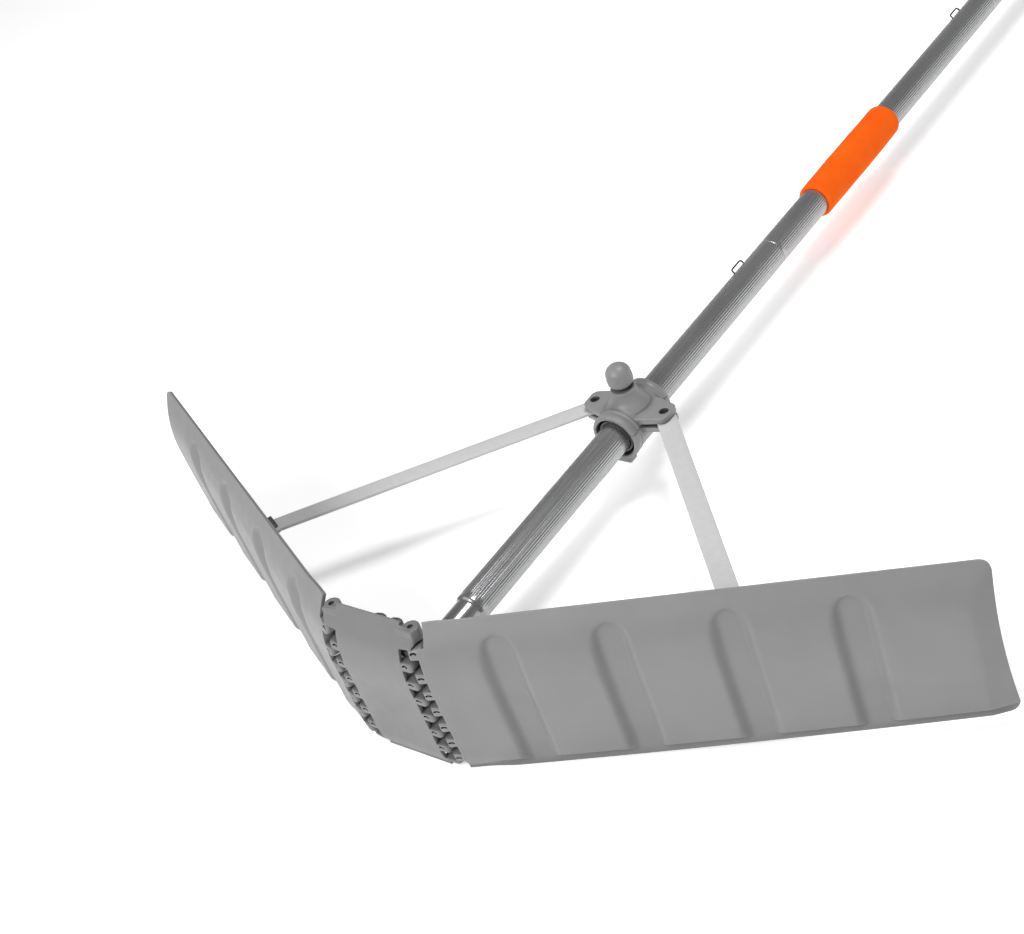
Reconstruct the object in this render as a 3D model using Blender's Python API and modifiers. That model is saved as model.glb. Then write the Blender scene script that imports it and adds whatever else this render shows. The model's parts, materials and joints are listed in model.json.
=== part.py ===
"""Folding three-panel snow rake on a sectional pole.

Frame: X runs along the blade, Y from the blade towards the far end of the pole,
Z up.  The origin is the middle of the centre panel's bottom edge.  Metres.  The
wings are modelled part-folded, at rest.  Pieces are first built with y = 0 at the
back of the blade, and the finished assembly is then moved back so that the bottom
edge comes to the origin.  A wing's pieces are built along X from its hinge axis,
before they are folded.
"""
import math

import bmesh
import bpy
from mathutils import Matrix, Vector

MM = 0.001
GAP = 0.3 * MM                      # clearance between pieces that touch
WELD = 0.0002 * MM                  # vertices this close are one

# Driving dimensions
BLADE_HEIGHT = 143 * MM
HINGE_X = 40.4 * MM                 # hinge axes at x = +-HINGE_X
HINGE_Y = -5.5 * MM
WING_LENGTH = 414.7 * MM            # from hinge axis to outer edge
FOLD_REST = math.radians(26.1)      # how far the wings are folded back at rest
SHEET = 3 * MM                      # wall of the moulded panels
BOTTOM_FORWARD = 19 * MM            # front of the bottom edge, from y = 0
POLE_Z = 61.2 * MM
TUBE_R = 14.3 * MM
TUBE_WALL = 1.2 * MM
COLLAR_Y = 328.6 * MM
EAR_X = 36.6 * MM                   # strut pivots on the collar
PIVOT_U = 236.8 * MM                # strut pivot on a wing, along it from the hinge axis
PIVOT_BACK = 3.8 * MM               # and behind the hinge axis
STRUT_Z = 67.5 * MM
STRUT_WIDTH = 18 * MM
STRUT_THICK = 3 * MM

# Hinge knuckles
PIN_R = 2.2 * MM
PIN_HOLE_R = 2.5 * MM
BARREL_R = 6.5 * MM
CENTRE_EDGE_U = 8 * MM              # centre panel's edge to hinge axis
CENTRE_TIP_U = 2.2 * MM             # its tongues' tips past the axis
WING_EDGE_U = 3 * MM                # the same two for a wing
WING_TIP_U = 5 * MM
KNUCKLE_R = 7.5 * MM                # top knuckle on the centre panel
TOP_EDGE_U = 10.5 * MM              # wing edge beside the top knuckle
TONGUE_PITCH = 17.35 * MM
TONGUE_HEIGHT = 7.2 * MM
TONGUES = 7
FIRST_TONGUE_Z = 6.4 * MM
TOP_KNUCKLE_Z = 126.5 * MM
TOP_KNUCKLE_END_Z = 139.5 * MM

# Moulded face of the wings
EMBOSS = 9 * MM                     # how far the face stands proud of its rim
END_FACET = 20 * MM
END_HOLLOW = 4 * MM                 # the outer edge curves inwards at mid height
GROOVES_U = [63.8 * MM, 147.8 * MM, 233.8 * MM, 317.8 * MM]
GROOVE_FLOOR = 9 * MM               # half width of the flat floor
GROOVE_RIM = 15 * MM                # half width at the top of the sides
GROOVE_TOP_Z = 120 * MM             # centre of the round top

# Socket on the centre panel's back
SOCKET_FACE_Y = -12 * MM
SOCKET_HALF = 19 * MM
SOCKET_Z = (12 * MM, 112 * MM)
SOCKET_END_Y = 40 * MM
SOCKET_SCREW_X = 14 * MM
SOCKET_SCREW_Z = (22 * MM, 100 * MM)
SOCKET_PLATE = 3.5 * MM
TOWER_X = 8.2 * MM                  # two stiffening towers above the socket
TOWER_Y = 4 * MM
TOWER_R = 7.5 * MM
TOWER_TOP_Z = 125.5 * MM

# Pole
NECK_R = TUBE_R - TUBE_WALL - GAP
NECK_START_Y = -5 * MM
SHOULDER_Y = 86 * MM
JOINT_1_Y = 578 * MM
JOINT_2_Y = 1055 * MM
POLE_END_Y = 1540 * MM
NECK_LENGTH = 60 * MM
CLIP_BACK = 40 * MM                 # clip to joint
CLIP_LENGTH = 17 * MM
CLIP_HEIGHT = 4 * MM
CLIP_WIRE_R = 0.8 * MM
CLIP_HOLE_R = 1.2 * MM
CLIP_ANGLE = math.radians(-43)      # around the pole, from the top towards -X
GRIP_R = 18.2 * MM
GRIP_START_Y = 666.6 * MM
GRIP_LENGTH = 150 * MM
END_GRIP_START_Y = 1384 * MM
CAP_R = 15.5 * MM
CAP_LENGTH = 5 * MM                 # beyond the pole's end
PLUG_LENGTH = 25 * MM               # inside the pole

# Collar
BARREL_OUT = 23 * MM
SLEEVE_R = 16.8 * MM
MOUTH_R = 19 * MM
COLLAR_HALF = 30 * MM
TAB_UPPER = (69.3 * MM, 75.3 * MM)
TAB_LOWER = (60.7 * MM, 65.7 * MM)
EAR_HALF_Y = 12 * MM
SCREW_R = 3 * MM
SCREW_HOLE_R = 3.3 * MM
SCREW_HEAD_R = 4.2 * MM
RECESS_R = 4.6 * MM
FOOT_HALF_X = 9 * MM                # flat foot under the mouth
FOOT_Z = (34 * MM, 41 * MM)
BOSS_R = 11.5 * MM                  # boss that carries the knob, and its conical base
BOSS_BASE_R = 20 * MM
BOSS_BASE_Z = (76 * MM, 88 * MM)
BOSS_TOP_Z = 95.5 * MM
CHAMBER_R = 6.3 * MM                # hollow for the plunger's spring
CHAMBER_TOP_Z = 93.5 * MM
SCREW_SEAT_Z = 71.8 * MM
SCREW_END_Z = 56 * MM
NUT_R = 5.6 * MM
KNOB_R = 11.7 * MM
KNOB_Z = (98 * MM, 119 * MM)
PLUNGER_R = 3 * MM
PLUNGER_HOLE_R = 3.4 * MM
PLUNGER_FLANGE_Z = (79.5 * MM, 81 * MM)
SPRING_R = 4.6 * MM
SPRING_WIRE_R = 0.6 * MM
SPRING_Z = (82 * MM, 86.3 * MM)
SPRING_TURNS = 2

# Bracket on a wing
BRACKET_HALF_U = 21 * MM
PLATE = 2.5 * MM
BRACKET_FRONT = 15 * MM             # forward of the pivot
BRACKET_BACK = 9.5 * MM             # behind the pivot
BASE_Z = (50 * MM, 86 * MM)
BRACKET_SCREW_Z = (55.5 * MM, 80.5 * MM)

ALONG_Y = Matrix.Rotation(math.radians(-90), 4, "X")


# ---------------------------------------------------------------- helpers

def clear_scene():
    for thing in list(bpy.data.objects):
        bpy.data.objects.remove(thing, do_unlink=True)


def new_collection(name):
    group = bpy.data.collections.new(name)
    bpy.context.scene.collection.children.link(group)
    return group


def material(name, colour, roughness, metallic=0.0):
    mat = bpy.data.materials.new(name)
    mat.use_nodes = True
    shader = mat.node_tree.nodes["Principled BSDF"]
    shader.inputs["Base Color"].default_value = (*colour, 1.0)
    shader.inputs["Roughness"].default_value = roughness
    shader.inputs["Metallic"].default_value = metallic
    return mat


def keep(thing, name, mat):
    """Make an object one of the parts: name it, give it its material."""
    for group in list(thing.users_collection):
        group.objects.unlink(thing)
    PARTS.objects.link(thing)
    thing.name = name
    thing.data.name = name
    thing.data.materials.clear()
    thing.data.materials.append(mat.copy())
    thing.data.materials[0].name = name + "_finish"
    thing.data.shade_smooth()
    thing.data.set_sharp_from_angle(angle=math.radians(35))
    thing.hide_render = False
    thing.display_type = "TEXTURED"
    return thing


def scratch(name, mesh):
    """An object in the cutters collection, hidden from renders."""
    thing = bpy.data.objects.new(name, mesh)
    CUTTERS.objects.link(thing)
    thing.hide_render = True
    thing.display_type = "WIRE"
    return thing


def baked(thing):
    """A scratch object holding the evaluated mesh of another, in world space."""
    bpy.context.view_layer.update()
    seen = thing.evaluated_get(bpy.context.evaluated_depsgraph_get())
    mesh = bpy.data.meshes.new_from_object(seen)
    mesh.transform(thing.matrix_world)
    shape = bmesh.new()
    shape.from_mesh(mesh)
    bmesh.ops.remove_doubles(shape, verts=shape.verts, dist=WELD)
    bmesh.ops.triangulate(shape, faces=shape.faces)
    shape.to_mesh(mesh)
    shape.free()
    copy = scratch(thing.name + "_baked", mesh)
    bpy.data.objects.remove(thing, do_unlink=True)
    return copy


def combined(base, tools, operation):
    """Boolean of base with each tool in turn; the tools are used up."""
    for tool in tools:
        cut = base.modifiers.new("cut", "BOOLEAN")
        cut.operation = operation
        cut.solver = "EXACT"
        cut.object = tool
        whole = baked(base)
        bpy.data.objects.remove(tool, do_unlink=True)
        base = whole
    return base


def joined(base, *tools):
    return combined(base, tools, "UNION")


def cut_by(base, *tools):
    return combined(base, tools, "DIFFERENCE")


def box(low, high):
    shape = bmesh.new()
    size = Vector(high) - Vector(low)
    centre = (Vector(high) + Vector(low)) / 2
    bmesh.ops.create_cube(shape, size=1.0)
    bmesh.ops.scale(shape, vec=size, verts=shape.verts)
    bmesh.ops.translate(shape, vec=centre, verts=shape.verts)
    mesh = bpy.data.meshes.new("box")
    shape.to_mesh(mesh)
    shape.free()
    return scratch("box", mesh)


def rod(radius, start, end, sides=16, end_radius=None):
    """A cylinder or cone between two points."""
    start = Vector(start)
    end = Vector(end)
    way = end - start
    shape = bmesh.new()
    bmesh.ops.create_cone(
        shape, cap_ends=True, segments=sides, radius1=radius,
        radius2=radius if end_radius is None else end_radius, depth=way.length)
    turn = Vector((0, 0, 1)).rotation_difference(way).to_matrix().to_4x4()
    bmesh.ops.transform(
        shape, matrix=Matrix.Translation((start + end) / 2) @ turn, verts=shape.verts)
    mesh = bpy.data.meshes.new("rod")
    shape.to_mesh(mesh)
    shape.free()
    return scratch("rod", mesh)


def slab(outline, low, high):
    """A flat outline in X and Y, from one height to another."""
    curve = bpy.data.curves.new("slab", "CURVE")
    curve.dimensions = "2D"
    curve.fill_mode = "BOTH"
    curve.extrude = (high - low) / 2
    spline = curve.splines.new("POLY")
    spline.points.add(len(outline) - 1)
    for point, (x, y) in zip(spline.points, outline):
        point.co = (x, y, 0, 1)
    spline.use_cyclic_u = True
    thing = bpy.data.objects.new("slab", curve)
    CUTTERS.objects.link(thing)
    thing.location.z = (high + low) / 2
    return baked(thing)


def arc(centre, radius, start, end, steps):
    """Points on an arc, angles in degrees."""
    points = []
    for step in range(steps + 1):
        angle = math.radians(start + (end - start) * step / steps)
        points.append((centre[0] + radius * math.cos(angle),
                       centre[1] + radius * math.sin(angle)))
    return points


def turned(profile, segments, place, closed):
    """Screw a profile of (radius, height) pairs; it runs down the outer side."""
    shape = bmesh.new()
    verts = [shape.verts.new((radius, 0, height)) for radius, height in profile]
    for first, second in zip(verts, verts[1:]):
        shape.edges.new((first, second))
    if closed:
        shape.edges.new((verts[-1], verts[0]))
    mesh = bpy.data.meshes.new("turned")
    shape.to_mesh(mesh)
    shape.free()
    thing = scratch("turned", mesh)
    screw = thing.modifiers.new("screw", "SCREW")
    screw.steps = segments
    screw.render_steps = segments
    screw.use_merge_vertices = True
    screw.merge_threshold = 0.01 * MM
    screw.use_smooth_shade = True
    thing.matrix_world = place
    return baked(thing)


def wire(points, radius, bevel_resolution, cyclic=False):
    curve = bpy.data.curves.new("wire", "CURVE")
    curve.dimensions = "3D"
    curve.bevel_depth = radius
    curve.bevel_resolution = bevel_resolution
    curve.use_fill_caps = True
    spline = curve.splines.new("POLY")
    spline.points.add(len(points) - 1)
    for point, place in zip(spline.points, points):
        point.co = (*place, 1)
    spline.use_cyclic_u = cyclic
    thing = bpy.data.objects.new("wire", curve)
    CUTTERS.objects.link(thing)
    return baked(thing)


def mirror(mesh):
    """Turn a mesh over to the other side of the plane x = 0."""
    mesh.transform(Matrix.Scale(-1, 4, (1, 0, 0)))
    mesh.flip_normals()


def mirrored(thing):
    """A mirrored copy of an object."""
    mesh = thing.data.copy()
    mirror(mesh)
    return scratch(thing.name + "_left", mesh)


def smooth(value, low, high):
    share = min(max((value - low) / (high - low), 0.0), 1.0)
    return share * share * (3 - 2 * share)


def ramp(value, low, high):
    return min(max((value - low) / (high - low), 0.0), 1.0)


def through(stations, value):
    """A smooth curve through (value, result) stations, flat at its first end."""
    if value <= stations[0][0]:
        return stations[0][1]
    for index in range(len(stations) - 1):
        here = stations[index]
        there = stations[index + 1]
        if value <= there[0]:
            break
    before = stations[max(index - 1, 0)]
    after = stations[min(index + 2, len(stations) - 1)]
    span = there[0] - here[0]
    slope_in = (there[1] - before[1]) / (there[0] - before[0])
    slope_out = (after[1] - here[1]) / (after[0] - here[0])
    t = min((value - here[0]) / span, 1.0)
    return ((2 * t**3 - 3 * t**2 + 1) * here[1] + (t**3 - 2 * t**2 + t) * span * slope_in
            + (3 * t**2 - 2 * t**3) * there[1] + (t**3 - t**2) * span * slope_out)


# ---------------------------------------------------------------- blade

# How far the front stands forward of the hinge axis, up the blade's height: on a
# wing's rim, and beside a hinge, where the centre panel has the same shape.
RIM_PROFILE = [(0, 14 * MM), (5 * MM, 14.5 * MM), (18 * MM, 16 * MM), (36 * MM, 17.4 * MM),
               (60 * MM, 17.2 * MM), (80 * MM, 16.2 * MM), (105 * MM, 13.8 * MM),
               (126 * MM, 9.6 * MM), (143 * MM, 2.2 * MM)]
HINGE_PROFILE = [(0, 13.5 * MM), (5 * MM, 13.5 * MM), (16 * MM, 18.3 * MM), (77 * MM, 19.5 * MM),
                 (94 * MM, 19.4 * MM), (112 * MM, 17 * MM), (124 * MM, 13.1 * MM),
                 (143 * MM, 1.5 * MM)]


def groove_depth(u, z):
    """1 on the flat face between grooves, 0 on a groove's floor."""
    share = 1.0
    for groove in GROOVES_U:
        away = math.hypot(u - groove, max(z - GROOVE_TOP_Z, 0.0))
        share = min(share, ramp(away, GROOVE_FLOOR, GROOVE_RIM))
    return share


def wing_depth(u, z):
    beside_hinge = through(HINGE_PROFILE, z)
    bottom = ramp(z, 5 * MM, 15 * MM)
    top = ramp(BLADE_HEIGHT - z, 0, 29 * MM)
    end = ramp(WING_LENGTH - u, 0, END_FACET)
    face = through(RIM_PROFILE, z) + EMBOSS * min(bottom, top, end, groove_depth(u, z))
    return beside_hinge + (face - beside_hinge) * smooth(u, 20 * MM, 45 * MM)


def wing_reach(u, z):
    """Where a point of the flat grid comes along the wing, with its outer edge hollowed."""
    middle = 0.59 * BLADE_HEIGHT
    hollow = END_HOLLOW * (1 - ((z - middle) / middle) ** 2)
    return u - hollow * ramp(u, WING_LENGTH - 2 * END_FACET, WING_LENGTH)


def sheet(us, zs, depth, reach=lambda u, z: u):
    """A moulded sheet: a grid bent to a depth function, then thickened backwards."""
    columns = len(us) - 1
    rows = len(zs) - 1
    shape = bmesh.new()
    bmesh.ops.create_grid(shape, x_segments=columns, y_segments=rows, size=1.0)
    for vert in shape.verts:
        u = us[round((vert.co.x + 1) / 2 * columns)]
        z = zs[round((vert.co.y + 1) / 2 * rows)]
        vert.co = (reach(u, z), -depth(u, z), z)
    mesh = bpy.data.meshes.new("sheet")
    shape.to_mesh(mesh)
    shape.free()
    thing = scratch("sheet", mesh)
    wall = thing.modifiers.new("wall", "SOLIDIFY")
    wall.thickness = SHEET
    wall.offset = -1
    return baked(thing)


def tongue(z, edge, tip):
    """A hinge tongue: a lug from a panel's edge, round the pin and past it.

    The panel lies towards +X of the pin.
    """
    low = z - TONGUE_HEIGHT / 2
    high = z + TONGUE_HEIGHT / 2
    front = min(through(HINGE_PROFILE, low), through(HINGE_PROFILE, high)) - GAP
    root = edge + 4 * MM
    chamfer = 3 * MM
    outline = [(root, -front), (-tip + chamfer, -front), (-tip, -front + chamfer),
               (-tip, -front + 5 * MM)]
    outline += arc((0, 0), BARREL_R, 180, 0, 6)
    outline += [(root, -front + SHEET - GAP)]
    return slab(outline, low, high)


def tongue_heights(first):
    return [first + TONGUE_PITCH * index for index in range(TONGUES)]


def build_centre_panel():
    edge = HINGE_X - CENTRE_EDGE_U
    outer = HINGE_X + KNUCKLE_R
    zs = [0, 5 * MM, 16 * MM, 45 * MM, 77 * MM, 94 * MM, 112 * MM, TOP_KNUCKLE_Z,
          134 * MM, BLADE_HEIGHT]
    panel = sheet([-outer, 0, outer], zs, lambda x, z: through(HINGE_PROFILE, z) - HINGE_Y)
    for side in (1, -1):
        axis = (side * HINGE_X, HINGE_Y)
        low_x, high_x = sorted((side * edge, side * (outer + 5 * MM)))
        room = box((low_x, -60 * MM, -MM), (high_x, 20 * MM, TOP_KNUCKLE_Z + GAP))
        corner = box((low_x, -60 * MM, TOP_KNUCKLE_END_Z), (high_x, 20 * MM, 2 * BLADE_HEIGHT))
        knuckle = rod(KNUCKLE_R, (*axis, TOP_KNUCKLE_Z + 2 * GAP),
                      (*axis, TOP_KNUCKLE_END_Z - GAP), 16)
        web = box((axis[0] - BARREL_R, axis[1] - 8 * MM, TOP_KNUCKLE_Z + 5 * GAP),
                  (axis[0] + BARREL_R, axis[1], TOP_KNUCKLE_Z + 7 * MM))
        panel = joined(cut_by(panel, room, corner), knuckle, web)
        for z in tongue_heights(FIRST_TONGUE_Z):
            lug = tongue(z, CENTRE_EDGE_U, CENTRE_TIP_U)
            if side > 0:
                mirror(lug.data)
            lug.data.transform(Matrix.Translation((*axis, 0)))
            panel = joined(panel, lug)
        bore = rod(PIN_HOLE_R, (*axis, -MM), (*axis, BLADE_HEIGHT + MM), 10)
        panel = cut_by(panel, bore)
    for x in (-SOCKET_SCREW_X, SOCKET_SCREW_X):
        for z in SOCKET_SCREW_Z:
            front = HINGE_Y - through(HINGE_PROFILE, z)
            boss = rod(5 * MM, (x, front + SHEET / 2, z), (x, SOCKET_FACE_Y - GAP, z), 12)
            hole = rod(2 * MM, (x, SOCKET_FACE_Y - 8 * MM, z), (x, SOCKET_FACE_Y + MM, z), 8)
            panel = cut_by(joined(panel, boss), hole)
    keep(panel, "centre_panel", GREY_PLASTIC)


def build_wing_panels():
    us = [WING_EDGE_U, 20 * MM, 43 * MM]
    for groove in GROOVES_U:
        us += [groove - GROOVE_RIM, groove - GROOVE_FLOOR, groove + GROOVE_FLOOR,
               groove + GROOVE_RIM]
    us += [WING_LENGTH - 2 * END_FACET, WING_LENGTH - END_FACET, WING_LENGTH]
    zs = [0, 5 * MM, 15 * MM, 40 * MM, 66 * MM, 92 * MM, 114 * MM, 122 * MM, 132 * MM,
          BLADE_HEIGHT]
    beside_knuckle = box((0, -40 * MM, TOP_KNUCKLE_Z - 2 * GAP),
                         (TOP_EDGE_U, 20 * MM, BLADE_HEIGHT + MM))
    panel = cut_by(sheet(us, zs, wing_depth, wing_reach), beside_knuckle)
    for z in tongue_heights(FIRST_TONGUE_Z + TONGUE_PITCH / 2):
        panel = joined(panel, tongue(z, WING_EDGE_U, WING_TIP_U))
    panel = cut_by(panel, rod(PIN_HOLE_R, (0, 0, -MM), (0, 0, BLADE_HEIGHT), 10))
    behind = PIVOT_BACK - BRACKET_FRONT - GAP
    pad = box((PIVOT_U - 13 * MM, behind - 4.2 * MM, BASE_Z[0]),
              (PIVOT_U + 13 * MM, behind, BASE_Z[1]))
    panel = joined(panel, pad)
    for u, z in bracket_screw_places():
        hole = rod(1.6 * MM, (u, behind - 3 * MM, z), (u, behind + 5 * MM, z), 8)
        panel = cut_by(panel, hole)
    keep_on_wings(panel, "wing_panel", GREY_PLASTIC)


def keep_on_wings(thing, name, mat):
    """Keep a right-hand piece and its mirror image, each on its folded wing."""
    left = mirrored(thing)
    for side, piece, word in ((1, thing, "right_"), (-1, left, "left_")):
        piece.location = (side * HINGE_X, HINGE_Y, 0)
        piece.rotation_euler.z = side * FOLD_REST
        keep(piece, word + name, mat)


def build_hinge_pins():
    top = TOP_KNUCKLE_END_Z - 1.5 * MM
    profile = [(0, top), (PIN_R, top), (PIN_R, 3 * MM), (0, 3 * MM)]
    for side, word in ((1, "right_"), (-1, "left_")):
        at = Matrix.Translation((side * HINGE_X, HINGE_Y, 0))
        keep(turned(profile, 10, at, False), word + "hinge_pin", STEEL)


# ---------------------------------------------------------------- pole socket

def build_socket():
    plate_back = SOCKET_FACE_Y + SOCKET_PLATE
    socket = box((-SOCKET_HALF, SOCKET_FACE_Y, SOCKET_Z[0]), (SOCKET_HALF, plate_back, SOCKET_Z[1]))
    barrel = rod(17.5 * MM, (0, plate_back - MM, POLE_Z), (0, SOCKET_END_Y - 2 * MM, POLE_Z), 24)
    lip = rod(19 * MM, (0, SOCKET_END_Y - 10 * MM, POLE_Z), (0, SOCKET_END_Y, POLE_Z), 24)
    socket = joined(socket, barrel, lip)
    rounding = 3 * MM
    tower_profile = [(0, TOWER_TOP_Z), (TOWER_R - rounding, TOWER_TOP_Z),
                     (TOWER_R, TOWER_TOP_Z - rounding), (TOWER_R, POLE_Z), (0, POLE_Z)]
    for x in (TOWER_X, -TOWER_X):
        tower = turned(tower_profile, 12, Matrix.Translation((x, TOWER_Y, 0)), False)
        web = box((x - MM, plate_back - MM, POLE_Z), (x + MM, TOWER_Y - 4 * MM, 108 * MM))
        foot = box((x - MM, plate_back - MM, 16 * MM), (x + MM, TOWER_Y - 8 * MM, POLE_Z))
        socket = joined(socket, tower, web, foot)
    bore = rod(NECK_R + GAP, (0, -7.5 * MM, POLE_Z), (0, SOCKET_END_Y + 10 * MM, POLE_Z), 24)
    socket = cut_by(socket, bore)
    for x in (-SOCKET_SCREW_X, SOCKET_SCREW_X):
        for z in SOCKET_SCREW_Z:
            hole = rod(2.3 * MM, (x, SOCKET_FACE_Y - MM, z), (x, plate_back + MM, z), 8)
            socket = cut_by(socket, hole)
    keep(socket, "pole_socket", DARK_PLASTIC)


def screw_along_y(x, y, z, head_r, shank_r, head, shank):
    """A pan-head screw whose head sits behind the plane y and points to -Y."""
    profile = [(0, head), (head_r * 0.7, head), (head_r, 0), (shank_r, 0),
               (shank_r, -shank), (0, -shank)]
    return turned(profile, 8, Matrix.Translation((x, y, z)) @ ALONG_Y, False)


def build_socket_screws():
    seat = SOCKET_FACE_Y + SOCKET_PLATE + GAP
    places = [(x, z) for z in SOCKET_SCREW_Z for x in (-SOCKET_SCREW_X, SOCKET_SCREW_X)]
    for number, (x, z) in enumerate(places, 1):
        screw = screw_along_y(x, seat, z, 4 * MM, 1.7 * MM, 2.2 * MM, 10 * MM)
        keep(screw, f"socket_screw_{number}", STEEL)


# ---------------------------------------------------------------- pole

def tube_profile(start, end, neck_start, shoulder):
    """Section of a tube with a narrower neck at its lower end, as (radius, y)."""
    inner = TUBE_R - TUBE_WALL
    neck_inner = NECK_R - TUBE_WALL
    return [(TUBE_R, end), (TUBE_R, start), (NECK_R, start - shoulder), (NECK_R, neck_start),
            (neck_inner, neck_start), (neck_inner, start), (inner, start + shoulder + MM),
            (inner, end)]


def clip_frame(joint_y):
    """Place with its Z pointing out of the pole at the clip."""
    turn = Matrix.Rotation(CLIP_ANGLE, 4, "Y")
    return Matrix.Translation((0, joint_y - CLIP_BACK, POLE_Z)) @ turn


def clip_holes(joint_y):
    frame = clip_frame(joint_y)
    holes = []
    for side in (1, -1):
        y = side * CLIP_LENGTH / 2
        start = frame @ Vector((0, y, TUBE_R - 5 * MM))
        end = frame @ Vector((0, y, TUBE_R + 3 * MM))
        holes.append(rod(CLIP_HOLE_R, start, end, 8))
    return holes


def build_pole():
    sections = [
        ("lower_pole_section", SHOULDER_Y + 8 * MM, JOINT_1_Y, NECK_START_Y, 8 * MM),
        ("middle_pole_section", JOINT_1_Y + GAP, JOINT_2_Y, JOINT_1_Y - NECK_LENGTH, 0.0),
        ("upper_pole_section", JOINT_2_Y + GAP, POLE_END_Y, JOINT_2_Y - NECK_LENGTH, 0.0),
    ]
    place = Matrix.Translation((0, 0, POLE_Z)) @ ALONG_Y
    for name, start, end, neck_start, shoulder in sections:
        tube = turned(tube_profile(start, end, neck_start, shoulder), 24, place, True)
        if end in (JOINT_1_Y, JOINT_2_Y):
            tube = cut_by(tube, *clip_holes(end))
        if start != SHOULDER_Y + 8 * MM:
            tube = cut_by(tube, *clip_holes(start - GAP))
        keep(tube, name, ALUMINIUM)


def build_clips():
    """U-shaped wire clips whose legs go through both tubes of a joint."""
    corner = 2.5 * MM
    half = CLIP_LENGTH / 2
    top = TUBE_R + CLIP_HEIGHT
    foot = NECK_R - TUBE_WALL - MM
    right = arc((half - corner, top - corner), corner, 0, 90, 2)
    left = arc((-half + corner, top - corner), corner, 90, 180, 2)
    route = [(half, foot)] + right + left + [(-half, foot)]
    for joint_y, name in ((JOINT_1_Y, "lower_clip"), (JOINT_2_Y, "upper_clip")):
        frame = clip_frame(joint_y)
        clip = wire([frame @ Vector((0, y, r)) for y, r in route], CLIP_WIRE_R, 2)
        keep(clip, name, DARK_STEEL)


def build_grips_and_cap():
    place = Matrix.Translation((0, 0, POLE_Z)) @ ALONG_Y
    round_r = 2.5 * MM
    for name, start in (("middle_grip", GRIP_START_Y), ("end_grip", END_GRIP_START_Y)):
        end = start + GRIP_LENGTH
        profile = [(GRIP_R - round_r, end), (GRIP_R, end - round_r),
                   (GRIP_R, start + round_r), (GRIP_R - round_r, start)]
        inner = TUBE_R + GAP
        profile += [(inner, start), (inner, end)]
        keep(turned(profile, 20, place, True), name, ORANGE_FOAM)
    plug_r = TUBE_R - TUBE_WALL - GAP
    end = POLE_END_Y + CAP_LENGTH
    chamfer = 1.5 * MM
    plug_end = POLE_END_Y - PLUG_LENGTH
    cap = [(0, end), (CAP_R - chamfer, end), (CAP_R, end - chamfer), (CAP_R, POLE_END_Y + GAP),
           (plug_r, POLE_END_Y + GAP), (plug_r, plug_end), (0, plug_end)]
    keep(turned(cap, 20, place, False), "end_cap", DARK_PLASTIC)


# ---------------------------------------------------------------- collar

def ear_outline(side):
    """One ear in plan, from inside the barrel to its round outer end."""
    end_r = 9.5 * MM
    half = EAR_HALF_Y
    points = [(10 * MM, -half - 4 * MM), (24 * MM, -half - 3 * MM)]
    points += arc((EAR_X, 0), end_r, -70, 70, 6)
    points += [(24 * MM, half + 3 * MM), (10 * MM, half + 4 * MM)]
    if side < 0:
        points = [(-x, y) for x, y in reversed(points)]
    return [(x, y + COLLAR_Y) for x, y in points]


def build_collar_shells():
    place = Matrix.Translation((0, COLLAR_Y, POLE_Z)) @ ALONG_Y
    mouth = 12 * MM
    half = COLLAR_HALF
    profile = [(0, half), (BARREL_OUT, half), (BARREL_OUT, half - 6 * MM),
               (BARREL_OUT - 1.5 * MM, half - 9 * MM), (BARREL_OUT - 1.5 * MM, 9 * MM - half),
               (BARREL_OUT, 6 * MM - half), (BARREL_OUT, -half), (0, -half)]
    body = turned(profile, 24, place, False)
    for side in (1, -1):
        body = joined(body, slab(ear_outline(side), *TAB_UPPER), slab(ear_outline(side), *TAB_LOWER))
    base_low, base_high = BOSS_BASE_Z
    boss = rod(BOSS_BASE_R, (0, COLLAR_Y, base_low), (0, COLLAR_Y, base_high), 20, BOSS_R)
    neck = rod(BOSS_R, (0, COLLAR_Y, base_high - 6 * MM), (0, COLLAR_Y, BOSS_TOP_Z), 20)
    foot = box((-FOOT_HALF_X, COLLAR_Y - half + MM, FOOT_Z[0]),
               (FOOT_HALF_X, COLLAR_Y - half + 10 * MM, FOOT_Z[1]))
    body = joined(body, boss, neck, foot)
    bore_profile = [(0, half + MM), (MOUTH_R, half + MM), (SLEEVE_R + GAP, half - mouth),
                    (SLEEVE_R + GAP, mouth - half), (MOUTH_R, -half - MM), (0, -half - MM)]
    bore = turned(bore_profile, 24, place, False)
    chamber = rod(CHAMBER_R, (0, COLLAR_Y, POLE_Z), (0, COLLAR_Y, CHAMBER_TOP_Z), 12)
    stem_hole = rod(PLUNGER_HOLE_R, (0, COLLAR_Y, CHAMBER_TOP_Z - 3 * MM),
                    (0, COLLAR_Y, BOSS_TOP_Z + 5 * MM), 12)
    body = cut_by(body, bore, chamber, stem_hole)
    for side in (1, -1):
        x = side * EAR_X
        top = TAB_UPPER[1] + 5 * MM
        hole = rod(SCREW_HOLE_R, (x, COLLAR_Y, TAB_LOWER[0] - 5 * MM), (x, COLLAR_Y, top), 12)
        recess = rod(RECESS_R, (x, COLLAR_Y, SCREW_SEAT_Z), (x, COLLAR_Y, top), 16)
        body = cut_by(body, hole, recess)
    lower = scratch("lower_shell", body.data.copy())
    reach = 80 * MM
    below = box((-reach, COLLAR_Y - reach, 0), (reach, COLLAR_Y + reach, STRUT_Z + GAP / 2))
    above = box((-reach, COLLAR_Y - reach, STRUT_Z - GAP / 2),
                (reach, COLLAR_Y + reach, 2 * BLADE_HEIGHT))
    keep(cut_by(body, below), "collar_upper_shell", COLLAR_PLASTIC)
    keep(cut_by(lower, above), "collar_lower_shell", COLLAR_PLASTIC)


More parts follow.
